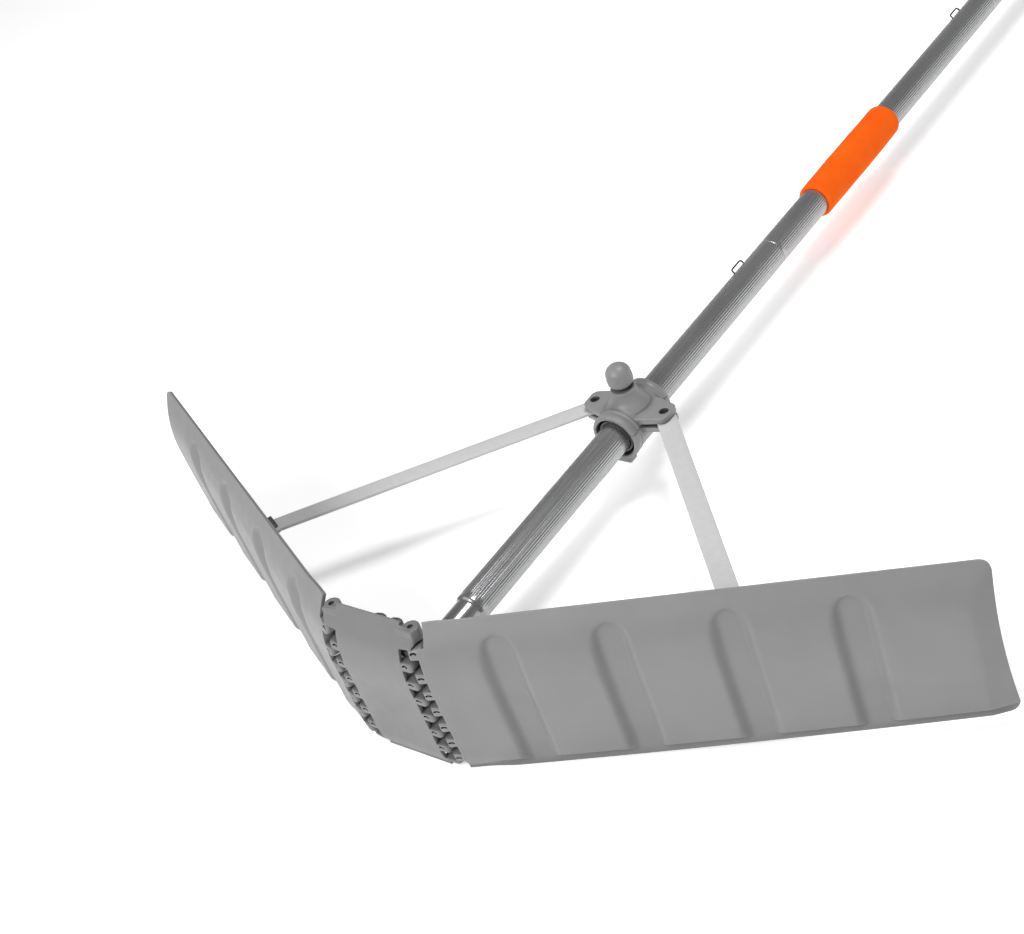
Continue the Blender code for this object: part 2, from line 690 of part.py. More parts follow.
def build_collar_bushing():
    place = Matrix.Translation((0, COLLAR_Y, POLE_Z)) @ ALONG_Y
    half = COLLAR_HALF - 3 * MM
    inner = TUBE_R + GAP
    profile = [(SLEEVE_R, half), (SLEEVE_R, -half), (inner, -half), (inner, half)]
    sleeve = turned(profile, 24, place, True)
    pin_hole = rod(PLUNGER_HOLE_R, (0, COLLAR_Y, POLE_Z + 10 * MM),
                   (0, COLLAR_Y, POLE_Z + 20 * MM), 12)
    keep(cut_by(sleeve, pin_hole), "collar_bushing", DARK_PLASTIC)


def build_lock():
    """Pull knob, plunger and its spring, on the axis above the pole."""
    low, high = KNOB_Z
    socket_end = high - 8 * MM
    dome = [(0, high), (4 * MM, high - 0.5 * MM), (8 * MM, high - 2.2 * MM),
            (10.6 * MM, high - 5.5 * MM), (KNOB_R, high - 10 * MM), (KNOB_R, low + 3 * MM),
            (KNOB_R - 2 * MM, low), (PLUNGER_R + GAP, low), (PLUNGER_R + GAP, socket_end),
            (0, socket_end)]
    at = Matrix.Translation((0, COLLAR_Y, 0))
    keep(turned(dome, 20, at, False), "lock_knob", COLLAR_PLASTIC)
    tip = POLE_Z + TUBE_R + GAP
    flange = CHAMBER_R - 0.7 * MM
    under, over = PLUNGER_FLANGE_Z
    stem = [(0, socket_end - GAP), (PLUNGER_R, socket_end - GAP), (PLUNGER_R, over),
            (flange, over), (flange, under), (PLUNGER_R, under),
            (PLUNGER_R, tip + MM), (PLUNGER_R - MM, tip), (0, tip)]
    keep(turned(stem, 12, at, False), "plunger_pin", STEEL)
    steps = 10
    count = SPRING_TURNS * steps
    rise = (SPRING_Z[1] - SPRING_Z[0]) / count
    coil = []
    for step in range(count + 1):
        angle = 2 * math.pi * step / steps
        coil.append((SPRING_R * math.cos(angle), COLLAR_Y + SPRING_R * math.sin(angle),
                     SPRING_Z[0] + rise * step))
    keep(wire(coil, SPRING_WIRE_R, 2), "plunger_spring", STEEL)


def build_pivot_screws():
    for side, word in ((1, "right_"), (-1, "left_")):
        seat = SCREW_SEAT_Z + GAP
        profile = [(0, seat + 2 * MM), (SCREW_HEAD_R - 0.6 * MM, seat + 2 * MM),
                   (SCREW_HEAD_R, seat + 1.4 * MM), (SCREW_HEAD_R, seat), (SCREW_R, seat),
                   (SCREW_R, SCREW_END_Z), (0, SCREW_END_Z)]
        at = Matrix.Translation((side * EAR_X, COLLAR_Y, 0))
        keep(turned(profile, 12, at, False), word + "pivot_screw", DARK_STEEL)
        nut = rod(NUT_R, (side * EAR_X, COLLAR_Y, SCREW_END_Z + 0.4 * MM),
                  (side * EAR_X, COLLAR_Y, TAB_LOWER[0] - GAP), 6)
        bore = rod(SCREW_R + GAP, (side * EAR_X, COLLAR_Y, SCREW_END_Z - 5 * MM),
                   (side * EAR_X, COLLAR_Y, TAB_LOWER[1]), 12)
        keep(cut_by(nut, bore), word + "pivot_nut", STEEL)


# ---------------------------------------------------------------- struts and brackets

def wing_pivot():
    """The right wing's strut pivot at rest."""
    along = Vector((PIVOT_U, PIVOT_BACK, 0))
    return Vector((HINGE_X, HINGE_Y, 0)) + Matrix.Rotation(FOLD_REST, 3, "Z") @ along


def build_struts():
    start = Vector((EAR_X, COLLAR_Y, 0))
    way = wing_pivot() - start
    length = way.length
    half = STRUT_WIDTH / 2
    outline = arc((0, 0), half, 90, 270, 6) + arc((length, 0), half, -90, 90, 6)
    low = STRUT_Z - STRUT_THICK / 2
    high = STRUT_Z + STRUT_THICK / 2
    strut = slab(outline, low, high)
    for x in (0, length):
        hole = rod(SCREW_HOLE_R, (x, 0, low - MM), (x, 0, high + MM), 12)
        strut = cut_by(strut, hole)
    angle = math.atan2(way.y, way.x)
    left = mirrored(strut)
    for side, piece, word in ((1, strut, "right_"), (-1, left, "left_")):
        piece.location = (side * EAR_X, COLLAR_Y, 0)
        piece.rotation_euler.z = side * angle
        keep(piece, word + "strut", STRUT_METAL)


def bracket_screw_places():
    return [(PIVOT_U, z) for z in BRACKET_SCREW_Z]


def bracket_plates():
    low = STRUT_Z - STRUT_THICK / 2 - 2 * GAP
    high = STRUT_Z + STRUT_THICK / 2 + 2 * GAP
    return (low - PLATE, low), (high, high + PLATE)


def build_brackets():
    """Clevis brackets: a base plate on the wing's back and two wide cheeks."""
    left = PIVOT_U - BRACKET_HALF_U
    right = PIVOT_U + BRACKET_HALF_U
    front = PIVOT_BACK - BRACKET_FRONT
    back = PIVOT_BACK + BRACKET_BACK
    corner = 6 * MM
    bracket = box((left, front, BASE_Z[0]), (right, front + PLATE, BASE_Z[1]))
    outline = [(left, front + MM), (right, front + MM)]
    outline += arc((right - corner, back - corner), corner, 0, 90, 3)
    outline += arc((left + corner, back - corner), corner, 90, 180, 3)
    for low, high in bracket_plates():
        cheek = slab(outline, low, high)
        hole = rod(SCREW_HOLE_R, (PIVOT_U, PIVOT_BACK, low - MM),
                   (PIVOT_U, PIVOT_BACK, high + MM), 12)
        bracket = joined(bracket, cut_by(cheek, hole))
    for u, z in bracket_screw_places():
        hole = rod(1.9 * MM, (u, front - MM, z), (u, front + PLATE + MM, z), 8)
        bracket = cut_by(bracket, hole)
    keep_on_wings(bracket, "wing_bracket", BRACKET_METAL)


def build_bracket_bolts():
    """The two halves of a pivot bolt; the strut's end lies free between them."""
    (lower_low, _), (_, upper_high) = bracket_plates()
    head = [(0, 4 * MM), (5.5 * MM, 4 * MM), (5.5 * MM, 0), (SCREW_R, 0),
            (SCREW_R, -PLATE), (0, -PLATE)]
    above = Matrix.Translation((PIVOT_U, PIVOT_BACK, upper_high + GAP))
    keep_on_wings(turned(head, 6, above, False), "bracket_bolt", STEEL)
    below = Matrix.Translation((PIVOT_U, PIVOT_BACK, lower_low - GAP))
    flip = Matrix.Rotation(math.pi, 4, "X")
    keep_on_wings(turned(head, 6, below @ flip, False), "bracket_nut", STEEL)
    seat = PIVOT_BACK - BRACKET_FRONT + PLATE + GAP
    for number, (u, z) in enumerate(bracket_screw_places(), 1):
        screw = screw_along_y(u, seat, z, 3.4 * MM, 1.3 * MM, 2 * MM, 5 * MM)
        keep_on_wings(screw, f"bracket_screw_{number}", STEEL)


# ---------------------------------------------------------------- assembly

clear_scene()
PARTS = new_collection("roof_snow_rake")
CUTTERS = new_collection("cutters")

GREY_PLASTIC = material("grey_plastic", (0.28, 0.28, 0.28), 0.45)
COLLAR_PLASTIC = material("collar_plastic", (0.25, 0.25, 0.25), 0.42)
DARK_PLASTIC = material("dark_plastic", (0.06, 0.06, 0.065), 0.5)
ALUMINIUM = material("aluminium", (0.72, 0.72, 0.73), 0.25, 1.0)
STRUT_METAL = material("strut_metal", (0.62, 0.62, 0.62), 0.4, 0.6)
BRACKET_METAL = material("bracket_metal", (0.35, 0.35, 0.35), 0.4, 0.8)
STEEL = material("steel", (0.55, 0.55, 0.56), 0.3, 1.0)
DARK_STEEL = material("dark_steel", (0.08, 0.08, 0.085), 0.4, 1.0)
ORANGE_FOAM = material("orange_foam", (0.95, 0.13, 0.01), 0.85)

build_centre_panel()
build_wing_panels()
build_hinge_pins()
build_socket()
build_socket_screws()
build_pole()
build_clips()
build_grips_and_cap()
build_collar_shells()
build_collar_bushing()
build_lock()
build_pivot_screws()
build_struts()
build_brackets()
build_bracket_bolts()

for part in PARTS.objects:
    part.location.y += BOTTOM_FORWARD - SHEET / 2
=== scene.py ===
"""Looks of the folding snow rake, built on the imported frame.

Everything is in metres in the frame's own axes: X along the blade, Y towards the far
end of the pole, Z up.  A wing's pieces are built in its own axes first: u along it
from the hinge axis, y = 0 at the axis and negative in front, z up.
"""
import json
import math

import bmesh
import bpy
from mathutils import Euler, Matrix, Vector


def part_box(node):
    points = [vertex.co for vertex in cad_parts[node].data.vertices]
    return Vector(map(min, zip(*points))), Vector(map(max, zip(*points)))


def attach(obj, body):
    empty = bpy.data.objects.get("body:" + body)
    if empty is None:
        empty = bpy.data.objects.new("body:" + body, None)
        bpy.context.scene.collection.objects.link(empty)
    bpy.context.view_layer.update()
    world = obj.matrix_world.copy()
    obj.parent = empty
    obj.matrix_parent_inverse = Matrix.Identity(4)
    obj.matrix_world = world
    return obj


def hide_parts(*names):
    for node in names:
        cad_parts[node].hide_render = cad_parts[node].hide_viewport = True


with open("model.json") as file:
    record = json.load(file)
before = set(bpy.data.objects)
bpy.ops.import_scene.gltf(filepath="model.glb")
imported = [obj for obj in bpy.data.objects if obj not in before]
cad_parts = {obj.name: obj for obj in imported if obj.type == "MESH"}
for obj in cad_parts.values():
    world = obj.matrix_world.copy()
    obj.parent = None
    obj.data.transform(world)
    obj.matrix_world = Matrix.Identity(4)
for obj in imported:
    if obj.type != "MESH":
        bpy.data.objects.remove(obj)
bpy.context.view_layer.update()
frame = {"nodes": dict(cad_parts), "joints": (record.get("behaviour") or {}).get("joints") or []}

MM = 0.001
GAP = 0.3 * MM
TURN = 2 * math.pi

# Photographer's camera
CAMERA_PLACE = (0.8661, -0.5562, 0.9448)
CAMERA_ANGLES = (52.562, 17.702, 35.939)
CAMERA_LENS = 61.81

# Studio lights: place, size and power in watts, all turned to one spot
LIGHTS = {"key": ((-0.3, -2.4, 2.2), 2.0, 80), "side": ((-1.9, -1.5, 2.0), 2.0, 10),
          "top": ((0.6, 1.1, 3.0), 1.0, 50)}
LIT_SPOT = Vector((0.1, 0.25, 0.05))
FLOOR_GLOW = 0.42


# ---------------------------------------------------------------- places from the frame

JOINTS = {joint["name"]: joint for joint in frame["joints"]}


def middle(node):
    low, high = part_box(node)
    return (low + high) / 2


HINGE = Vector(JOINTS["right_wing_fold"]["pos_m"])
BOLT = middle("right_bracket_bolt")
EAR = Vector(JOINTS["right_strut_swing"]["pos_m"])
BLADE_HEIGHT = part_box("centre_panel")[1].z
POLE_Z = middle("middle_grip").z
TUBE_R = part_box("middle_pole_section")[1].x

PIVOT_BACK = 3.8 * MM               # strut pivot behind the hinge axis, in a wing's axes
BOLT_REACH = math.hypot(BOLT.x - HINGE.x, BOLT.y - HINGE.y)
PIVOT_U = math.sqrt(BOLT_REACH**2 - PIVOT_BACK**2)
FOLD = math.atan2(BOLT.y - HINGE.y, BOLT.x - HINGE.x) - math.atan2(PIVOT_BACK, PIVOT_U)

SHEET = 3 * MM
WING_LENGTH = 414.6 * MM
WING_EDGE = 3 * MM                  # wing's edge past the axis, away from the centre panel
WING_TIP = 5 * MM                   # tips of its tongues, on the other side of the axis
CENTRE_EDGE = 8 * MM
CENTRE_TIP = 2.2 * MM
TONGUE_PITCH = 17.35 * MM
TONGUES = 7
CENTRE_TONGUE = (2.8 * MM, 10.6 * MM)       # lowest tongue of each panel, from and to
WING_TONGUE = (10.9 * MM, 19.8 * MM)
TOP_WING_TONGUE = (118.5 * MM, 126.4 * MM)
BARREL_R = 6.5 * MM
PIN_HOLE_R = 2.5 * MM
TOP_KNUCKLE = (126.8 * MM, 139.4 * MM)
TOP_KNUCKLE_R = 7.2 * MM
TOP_KNUCKLE_TIP = 5.5 * MM
SPACER_R = 5.6 * MM                 # ring round the pin, below the topmost wing tongue
SPACER_WEB = (4.5 * MM, -9 * MM, 3 * MM)    # joins it to the centre panel: side, front, back
RIB = (6 * MM, -15 * MM, -6.3 * MM)         # behind a wing's edge there: width, front, back
RIB_DROP = 12.5 * MM
BRACKET_FACE = PIVOT_BACK - 15 * MM         # where a wing bracket's plate meets its wing
BRACKET_PLATE = 2.5 * MM
PAD = (14 * MM, 49 * MM, 87 * MM)           # pad below a bracket: half width, from, to
PAD_THICK = 1.5 * MM

# Moulded face of a wing
EMBOSS = 5.5 * MM
LIP = 2.2 * MM                      # how far the bottom edge curls forward
LIP_HEIGHT = 6 * MM
END_FACET = 20 * MM
END_HOLLOW = 4 * MM
END_SETBACK = 4 * MM                # outer edge behind the rest of the rim, at the bottom
GROOVES_U = (63.8 * MM, 147.8 * MM, 233.8 * MM, 317.8 * MM)
GROOVE_FLOOR = 9 * MM
GROOVE_RIM = 15 * MM
GROOVE_TOP_Z = 120 * MM
TOP_CORNER_R = 8 * MM
BOTTOM_CORNER_R = 7 * MM
BOTTOM_LIFT = 10 * MM               # the bottom edge rises towards the outer end

# How far the front stands forward of the hinge axis, up the blade's height.
RIM_PROFILE = ((0, 14), (5, 14), (18, 13.6), (36, 13.9), (77, 14.1), (94, 13.9), (112, 11.8),
               (126, 9), (143, 2.2))
HINGE_PROFILE = ((0, 14.6), (4, 15), (10, 17.6), (18, 18.9), (77, 19.25), (94, 19.3), (112, 17),
                 (124, 13.1), (143, 1.5))


# ---------------------------------------------------------------- numbers

def ramp(value, low, high):
    return min(max((value - low) / (high - low), 0.0), 1.0)


def smooth(value, low, high):
    share = ramp(value, low, high)
    return share * share * (3 - 2 * share)


def least(values, blur):
    """The least of several numbers, with the creases between them rounded off."""
    lowest = min(values)
    total = sum(math.exp((lowest - value) / blur) for value in values)
    return lowest - blur * math.log(total)


def through(stations, value):
    """A smooth curve through (value, result) stations in millimetres, in metres."""
    value = min(max(value / MM, stations[0][0]), stations[-1][0])
    index = max(i for i, station in enumerate(stations[:-1]) if station[0] <= value)
    here = stations[index]
    there = stations[index + 1]
    before = stations[max(index - 1, 0)]
    after = stations[min(index + 2, len(stations) - 1)]
    span = there[0] - here[0]
    slope_in = (there[1] - before[1]) / (there[0] - before[0])
    slope_out = (after[1] - here[1]) / (after[0] - here[0])
    t = (value - here[0]) / span
    result = ((2 * t**3 - 3 * t**2 + 1) * here[1] + (t**3 - 2 * t**2 + t) * span * slope_in
              + (3 * t**2 - 2 * t**3) * there[1] + (t**3 - t**2) * span * slope_out)
    return result * MM


def steps(low, high, pitch):
    """Evenly spaced numbers from low to high, about pitch apart."""
    count = max(round((high - low) / pitch), 1)
    return [low + (high - low) * index / count for index in range(count + 1)]


def arc(centre, radius, start, end, count):
    """Points on an arc, angles in degrees."""
    angles = [math.radians(start + (end - start) * index / count) for index in range(count + 1)]
    return [(centre[0] + radius * math.cos(a), centre[1] + radius * math.sin(a)) for a in angles]


def rounded(points, radius, count=5, closed=True):
    """A polyline with its corners turned into arcs, smaller where its edges are short."""
    result = []
    total = len(points)
    for index, point in enumerate(points):
        if not closed and index in (0, total - 1):
            result.append(point)
            continue
        here = Vector(point)
        back = Vector(points[index - 1]) - here
        ahead = Vector(points[(index + 1) % total]) - here
        angle = back.angle(ahead)
        reach = min(radius / math.tan(angle / 2), back.length * 0.45, ahead.length * 0.45)
        if angle > math.radians(170) or reach < 1e-6:
            result.append(point)
            continue
        first = here + back.normalized() * reach
        last = here + ahead.normalized() * reach
        for step in range(count + 1):
            t = step / count
            place = first * (1 - t) ** 2 + here * 2 * t * (1 - t) + last * t * t
            result.append(tuple(place))
    return result


# ---------------------------------------------------------------- meshes

def to_object(name, shape):
    mesh = bpy.data.meshes.new(name)
    bmesh.ops.recalc_face_normals(shape, faces=shape.faces)
    if shape.calc_volume(signed=True) < 0:
        bmesh.ops.reverse_faces(shape, faces=shape.faces)
    shape.to_mesh(mesh)
    shape.free()
    thing = bpy.data.objects.new(name, mesh)
    bpy.context.scene.collection.objects.link(thing)
    return thing


def applied(thing):
    """Bake an object's modifiers and place into its mesh."""
    bpy.context.view_layer.update()
    seen = thing.evaluated_get(bpy.context.evaluated_depsgraph_get())
    mesh = bpy.data.meshes.new_from_object(seen)
    mesh.transform(thing.matrix_world)
    shape = bmesh.new()
    shape.from_mesh(mesh)
    bmesh.ops.remove_doubles(shape, verts=shape.verts, dist=0.0005 * MM)
    shape.to_mesh(mesh)
    shape.free()
    if thing.type == "MESH":
        thing.modifiers.clear()
        thing.data = mesh
        thing.matrix_world = Matrix.Identity(4)
        return thing
    baked = bpy.data.objects.new(thing.name, mesh)
    bpy.context.scene.collection.objects.link(baked)
    bpy.data.objects.remove(thing)
    return baked


def merged(name, things):
    """Several objects as one, each keeping its own closed surface."""
    shape = bmesh.new()
    for thing in things:
        thing.data.transform(thing.matrix_world)
        shape.from_mesh(thing.data)
        bpy.data.objects.remove(thing)
    return to_object(name, shape)


def combined(base, tool, operation):
    cut = base.modifiers.new("cut", "BOOLEAN")
    cut.operation = operation
    cut.solver = "EXACT"
    cut.object = tool
    whole = applied(base)
    bpy.data.objects.remove(tool)
    return whole


def joined(base, *tools):
    for tool in tools:
        base = combined(base, tool, "UNION")
    return base


def cut_by(base, *tools):
    for tool in tools:
        base = combined(base, tool, "DIFFERENCE")
    return base


def skin(shape, rings):
    """A skin over rings of points, each ring with the same number of them."""
    rows = [[shape.verts.new(point) for point in ring] for ring in rings]
    count = len(rows[0])
    for first, second in zip(rows, rows[1:]):
        for i in range(count):
            j = (i + 1) % count
            shape.faces.new((first[i], first[j], second[j], second[i]))
    return rows


def loft(rings):
    """A closed piece from a skin over rings."""
    shape = bmesh.new()
    rows = skin(shape, rings)
    shape.faces.new(rows[0])
    shape.faces.new(rows[-1])
    return to_object("loft", shape)


def hollow(rings):
    """A closed piece with a hole through it, from rings that go up outside and back inside."""
    shape = bmesh.new()
    skin(shape, rings + rings[:1])
    bmesh.ops.remove_doubles(shape, verts=shape.verts, dist=0.001 * MM)
    return to_object("hollow", shape)


def turned(profile, place, segments=64, closed=False):
    """A turned piece about its own Z, from (radius, height) pairs."""
    shape = bmesh.new()
    rows = []
    for radius, height in profile:
        if radius < 1e-7:
            rows.append([shape.verts.new((0, 0, height))])
            continue
        row = []
        for index in range(segments):
            angle = TURN * index / segments
            row.append(shape.verts.new((radius * math.cos(angle), radius * math.sin(angle),
                                        height)))
        rows.append(row)
    pairs = list(zip(rows, rows[1:]))
    if closed:
        pairs.append((rows[-1], rows[0]))
    for first, second in pairs:
        for i in range(segments):
            j = (i + 1) % segments
            corners = [first[i % len(first)], first[j % len(first)],
                       second[j % len(second)], second[i % len(second)]]
            corners = list(dict.fromkeys(corners))
            if len(corners) > 2:
                shape.faces.new(corners)
    thing = to_object("turned", shape)
    thing.data.transform(place)
    return thing


def inset(outline, distance):
    """A closed outline moved inwards, corner by corner."""
    area = sum(a[0] * b[1] - b[0] * a[1] for a, b in zip(outline, outline[1:] + outline[:1]))
    side = 1 if area > 0 else -1
    result = []
    for index, point in enumerate(outline):
        here = Vector(point)
        before = (here - Vector(outline[index - 1])).normalized()
        after = (Vector(outline[(index + 1) % len(outline)]) - here).normalized()
        along = before + after
        normal = Vector((-along.y, along.x)).normalized() * side
        result.append(tuple(here + normal * distance))
    return result


def slab(outline, low, high, edge=0.6 * MM):
    """A flat outline in X and Y, from one height to another, with rounded edges."""
    rings = []
    for turn in (0, 30, 60, 90):
        lift = edge * (1 - math.sin(math.radians(turn)))
        rings.append([(x, y, low + edge - edge * math.cos(math.radians(turn)))
                      for x, y in inset(outline, lift)])
    rings += [[(x, y, high + low - z) for x, y, z in ring] for ring in reversed(rings)]
    return loft(rings)


def box(low, high):
    shape = bmesh.new()
    bmesh.ops.create_cube(shape, size=1.0)
    bmesh.ops.scale(shape, vec=Vector(high) - Vector(low), verts=shape.verts)
    bmesh.ops.translate(shape, vec=(Vector(high) + Vector(low)) / 2, verts=shape.verts)
    return to_object("box", shape)


def rod(radius, start, end, segments=32):
    start = Vector(start)
    way = Vector(end) - start
    turn = Vector((0, 0, 1)).rotation_difference(way).to_matrix().to_4x4()
    return turned([(0, 0), (radius, 0), (radius, way.length), (0, way.length)],
                  Matrix.Translation(start) @ turn, segments)


def moulded(thing, voxel, passes):
    """Rebuild a piece with an even mesh, its corners softened as moulding leaves them."""
    remesh = thing.modifiers.new("remesh", "REMESH")
    remesh.mode = "VOXEL"
    remesh.voxel_size = voxel
    soften = thing.modifiers.new("soften", "SMOOTH")
    soften.factor = 0.5
    soften.iterations = passes
    return applied(thing)


def copied(node):
    """A separate copy of a CAD node, its vertices merged again."""
    shape = bmesh.new()
    shape.from_mesh(frame["nodes"][node].data)
    bmesh.ops.remove_doubles(shape, verts=shape.verts, dist=0.002 * MM)
    bmesh.ops.dissolve_limit(shape, angle_limit=math.radians(0.5), verts=shape.verts,
                             edges=shape.edges)
    return to_object(node, shape)


def bevelled(thing, width, segments=2, angle=35):
    bevel = thing.modifiers.new("bevel", "BEVEL")
    bevel.width = width
    bevel.segments = segments
    bevel.limit_method = "ANGLE"
    bevel.angle_limit = math.radians(angle)
    return applied(thing)


def mirrored(thing):
    """A copy of an object on the other side of the plane x = 0."""
    mesh = thing.data.copy()
    mesh.transform(Matrix.Scale(-1, 4, (1, 0, 0)))
    mesh.flip_normals()
    copy = bpy.data.objects.new(thing.name, mesh)
    bpy.context.scene.collection.objects.link(copy)
    return copy


def on_wing(side):
    """Where a wing's own axes lie in the frame, at rest."""
    place = Matrix.Translation((side * HINGE.x, HINGE.y, 0))
    return place @ Matrix.Rotation(side * FOLD, 4, "Z")


def finished(thing, name, body, slot, material, *nodes, sharp=40):
    """Name a piece, shade it, and hang it on its body in place of its CAD nodes."""
    thing.name = name
    thing.data.name = name
    thing.data.materials.clear()
    thing.data.materials.append(material)
    thing.data.shade_smooth()
    if sharp:
        thing.data.set_sharp_from_angle(angle=math.radians(sharp))
    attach(thing, body)
    if nodes:
        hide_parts(*nodes)
    return thing


# ---------------------------------------------------------------- materials

class Nodes:
    """Short ways to lay out a material's nodes."""

    def __init__(self, name):
        self.material = bpy.data.materials.new(name)
        self.material.use_nodes = True
        self.tree = self.material.node_tree
        self.shader = self.tree.nodes["Principled BSDF"]
        self.place = self.add("ShaderNodeTexCoord").outputs["Object"]

    def add(self, kind, **values):
        node = self.tree.nodes.new(kind)
        for name, value in values.items():
            setattr(node, name, value)
        return node

    def link(self, output, target):
        self.tree.links.new(output, target)

    def scaled(self, scale):
        mapping = self.add("ShaderNodeMapping")
        mapping.inputs["Scale"].default_value = scale
        self.link(self.place, mapping.inputs["Vector"])
        return mapping.outputs["Vector"]

    def noise(self, scale, detail=3.0, roughness=0.5, vector=None):
        node = self.add("ShaderNodeTexNoise")
        node.inputs["Scale"].default_value = scale
        node.inputs["Detail"].default_value = detail
        node.inputs["Roughness"].default_value = roughness
        self.link(self.place if vector is None else vector, node.inputs["Vector"])
        return node.outputs["Fac"]

    def remap(self, value, low, high, out_low, out_high):
        node = self.add("ShaderNodeMapRange")
        for name, number in (("From Min", low), ("From Max", high), ("To Min", out_low),
                             ("To Max", out_high)):
            node.inputs[name].default_value = number
        self.link(value, node.inputs["Value"])
        return node.outputs["Result"]

    def mix(self, share, first, second):
        node = self.add("ShaderNodeMix", data_type="RGBA")
        for socket, value in ((node.inputs[6], first), (node.inputs[7], second)):
            if isinstance(value, tuple):
                socket.default_value = (*value, 1.0)
            else:
                self.link(value, socket)
        self.link(share, node.inputs["Factor"])
        return node.outputs[2]

    def bump(self, height, distance, strength=1.0, normal=None):
        node = self.add("ShaderNodeBump")
        node.inputs["Distance"].default_value = distance
        node.inputs["Strength"].default_value = strength
        self.link(height, node.inputs["Height"])
        if normal is not None:
            self.link(normal, node.inputs["Normal"])
        return node.outputs["Normal"]

    def wear_and_highlight_edges(self, radius):
        """1 on outside edges within a radius, 0 elsewhere."""
        bevel = self.add("ShaderNodeBevel")
        bevel.samples = 4
        bevel.inputs["Radius"].default_value = radius
        geometry = self.add("ShaderNodeNewGeometry")
        dot = self.add("ShaderNodeVectorMath", operation="DOT_PRODUCT")
        self.link(bevel.outputs["Normal"], dot.inputs[0])
        self.link(geometry.outputs["Normal"], dot.inputs[1])
        return self.remap(dot.outputs["Value"], 0.985, 0.8, 0.0, 1.0)

    def hollows(self, reach, closed, clear):
        """0 deep in a gap, 1 in the open: the mask for painted shade."""
        node = self.add("ShaderNodeAmbientOcclusion", samples=8)
        node.inputs["Distance"].default_value = reach
        return self.remap(node.outputs["AO"], closed, clear, 0.0, 1.0)

    def set(self, **inputs):
        for name, value in inputs.items():
            socket = self.shader.inputs[name.replace("_", " ")]
            if isinstance(value, bpy.types.NodeSocket):
                self.link(value, socket)
            else:
                socket.default_value = value


def grey(level):
    return (level, level, level)


def plastic(name, level, roughness, grain):
    """Moulded plastic: faint mottling, a fine spark-eroded grain, paler edges that are partly wear
    and partly painted highlight, and painted shade in creases and gaps.
    """
    n = Nodes(name)
    mottle = n.remap(n.noise(26.0, 4.0), 0.3, 0.7, 0.0, 1.0)
    body = n.mix(mottle, grey(level * 0.965), grey(level * 1.035))
    # Paler rims: partly edge wear, partly a painted highlight where the rounded edges catch light.
    edges = n.add("ShaderNodeMath", operation="MULTIPLY")
    n.link(n.wear_and_highlight_edges(1.3 * MM), edges.inputs[0])
    n.link(n.remap(n.noise(60.0, 3.0), 0.35, 0.65, 0.35, 0.85), edges.inputs[1])
    shade = n.mix(edges.outputs[0], body, grey(min(level * 1.5, 0.9)))
    # Painted shade: darker in narrow creases and concave corners.
    shade = n.mix(n.hollows(5 * MM, 0.72, 0.98), grey(level * 0.72), shade)
    # Painted shade: much darker deep in the gaps between parts.
    colour = n.mix(n.hollows(9 * MM, 0.05, 0.5), grey(level * 0.12), shade)
    gloss = n.remap(n.noise(90.0, 3.0), 0.3, 0.7, roughness - 0.05, roughness + 0.05)
    fine = n.bump(n.noise(2600.0, 2.0), grain)
    waves = n.bump(n.noise(38.0, 2.0), 0.25 * MM, 0.25, fine)
    n.set(Base_Color=colour, Roughness=gloss, Normal=waves)
    n.set(**{"Specular IOR Level": 0.42})
    return n.material


def drawn_aluminium(name):
    """Extruded tube: bright, with faint lines and smears along its length."""
    n = Nodes(name)
    lines = n.noise(900.0, 2.0, 0.6, n.scaled((1.0, 0.012, 1.0)))
    smears = n.noise(30.0, 4.0, 0.6, n.scaled((1.0, 0.25, 1.0)))
    colour = n.mix(n.remap(smears, 0.35, 0.65, 0.0, 1.0), (0.37, 0.373, 0.38),
                   (0.44, 0.442, 0.446))
    gloss = n.remap(lines, 0.3, 0.7, 0.18, 0.30)
    n.set(Base_Color=colour, Metallic=0.75, Roughness=gloss, Normal=n.bump(lines, 0.03 * MM, 0.5))
    return n.material


def metal(name, colour, roughness, spread, metallic=1.0, grain=0.01 * MM):
    """Plated or painted metal with small spots and rubbed edges."""
    n = Nodes(name)
    spots = n.remap(n.noise(160.0, 5.0, 0.65), 0.35, 0.7, 0.0, 1.0)
    dim = tuple(c * (1 - spread) for c in colour)
    bright = tuple(min(c * 1.25 + 0.03, 1.0) for c in colour)
    base = n.mix(spots, colour, dim)
    shade = n.mix(n.wear_and_highlight_edges(0.5 * MM), base, bright)
    gloss = n.remap(n.noise(240.0, 3.0), 0.3, 0.7, roughness - 0.06, roughness + 0.08)
    n.set(Base_Color=shade, Metallic=metallic, Roughness=gloss,
          Normal=n.bump(n.noise(1500.0, 2.0), grain))
    return n.material


def foam(name):
    """Closed-cell foam: matt, with fine cells and slightly paler rubbed patches."""
    n = Nodes(name)
    cells = n.add("ShaderNodeTexVoronoi", feature="F1")
    cells.inputs["Scale"].default_value = 1150.0
    n.link(n.place, cells.inputs["Vector"])
    patches = n.remap(n.noise(45.0, 4.0), 0.35, 0.7, 0.0, 1.0)
    tone = n.mix(patches, (1.0, 0.125, 0.006), (1.0, 0.155, 0.010))
    pores = n.remap(cells.outputs["Distance"], 0.0, 0.35, 1.0, 0.0)
    colour = n.mix(pores, tone, (0.86, 0.085, 0.004))
    rough = n.bump(n.noise(420.0, 4.0, 0.6), 0.18 * MM, 0.6)
    n.set(Base_Color=colour, Roughness=0.88, Normal=n.bump(cells.outputs["Distance"], 0.12 * MM,
                                                            0.5, rough))
    n.set(**{"Specular IOR Level": 0.08})
    return n.material


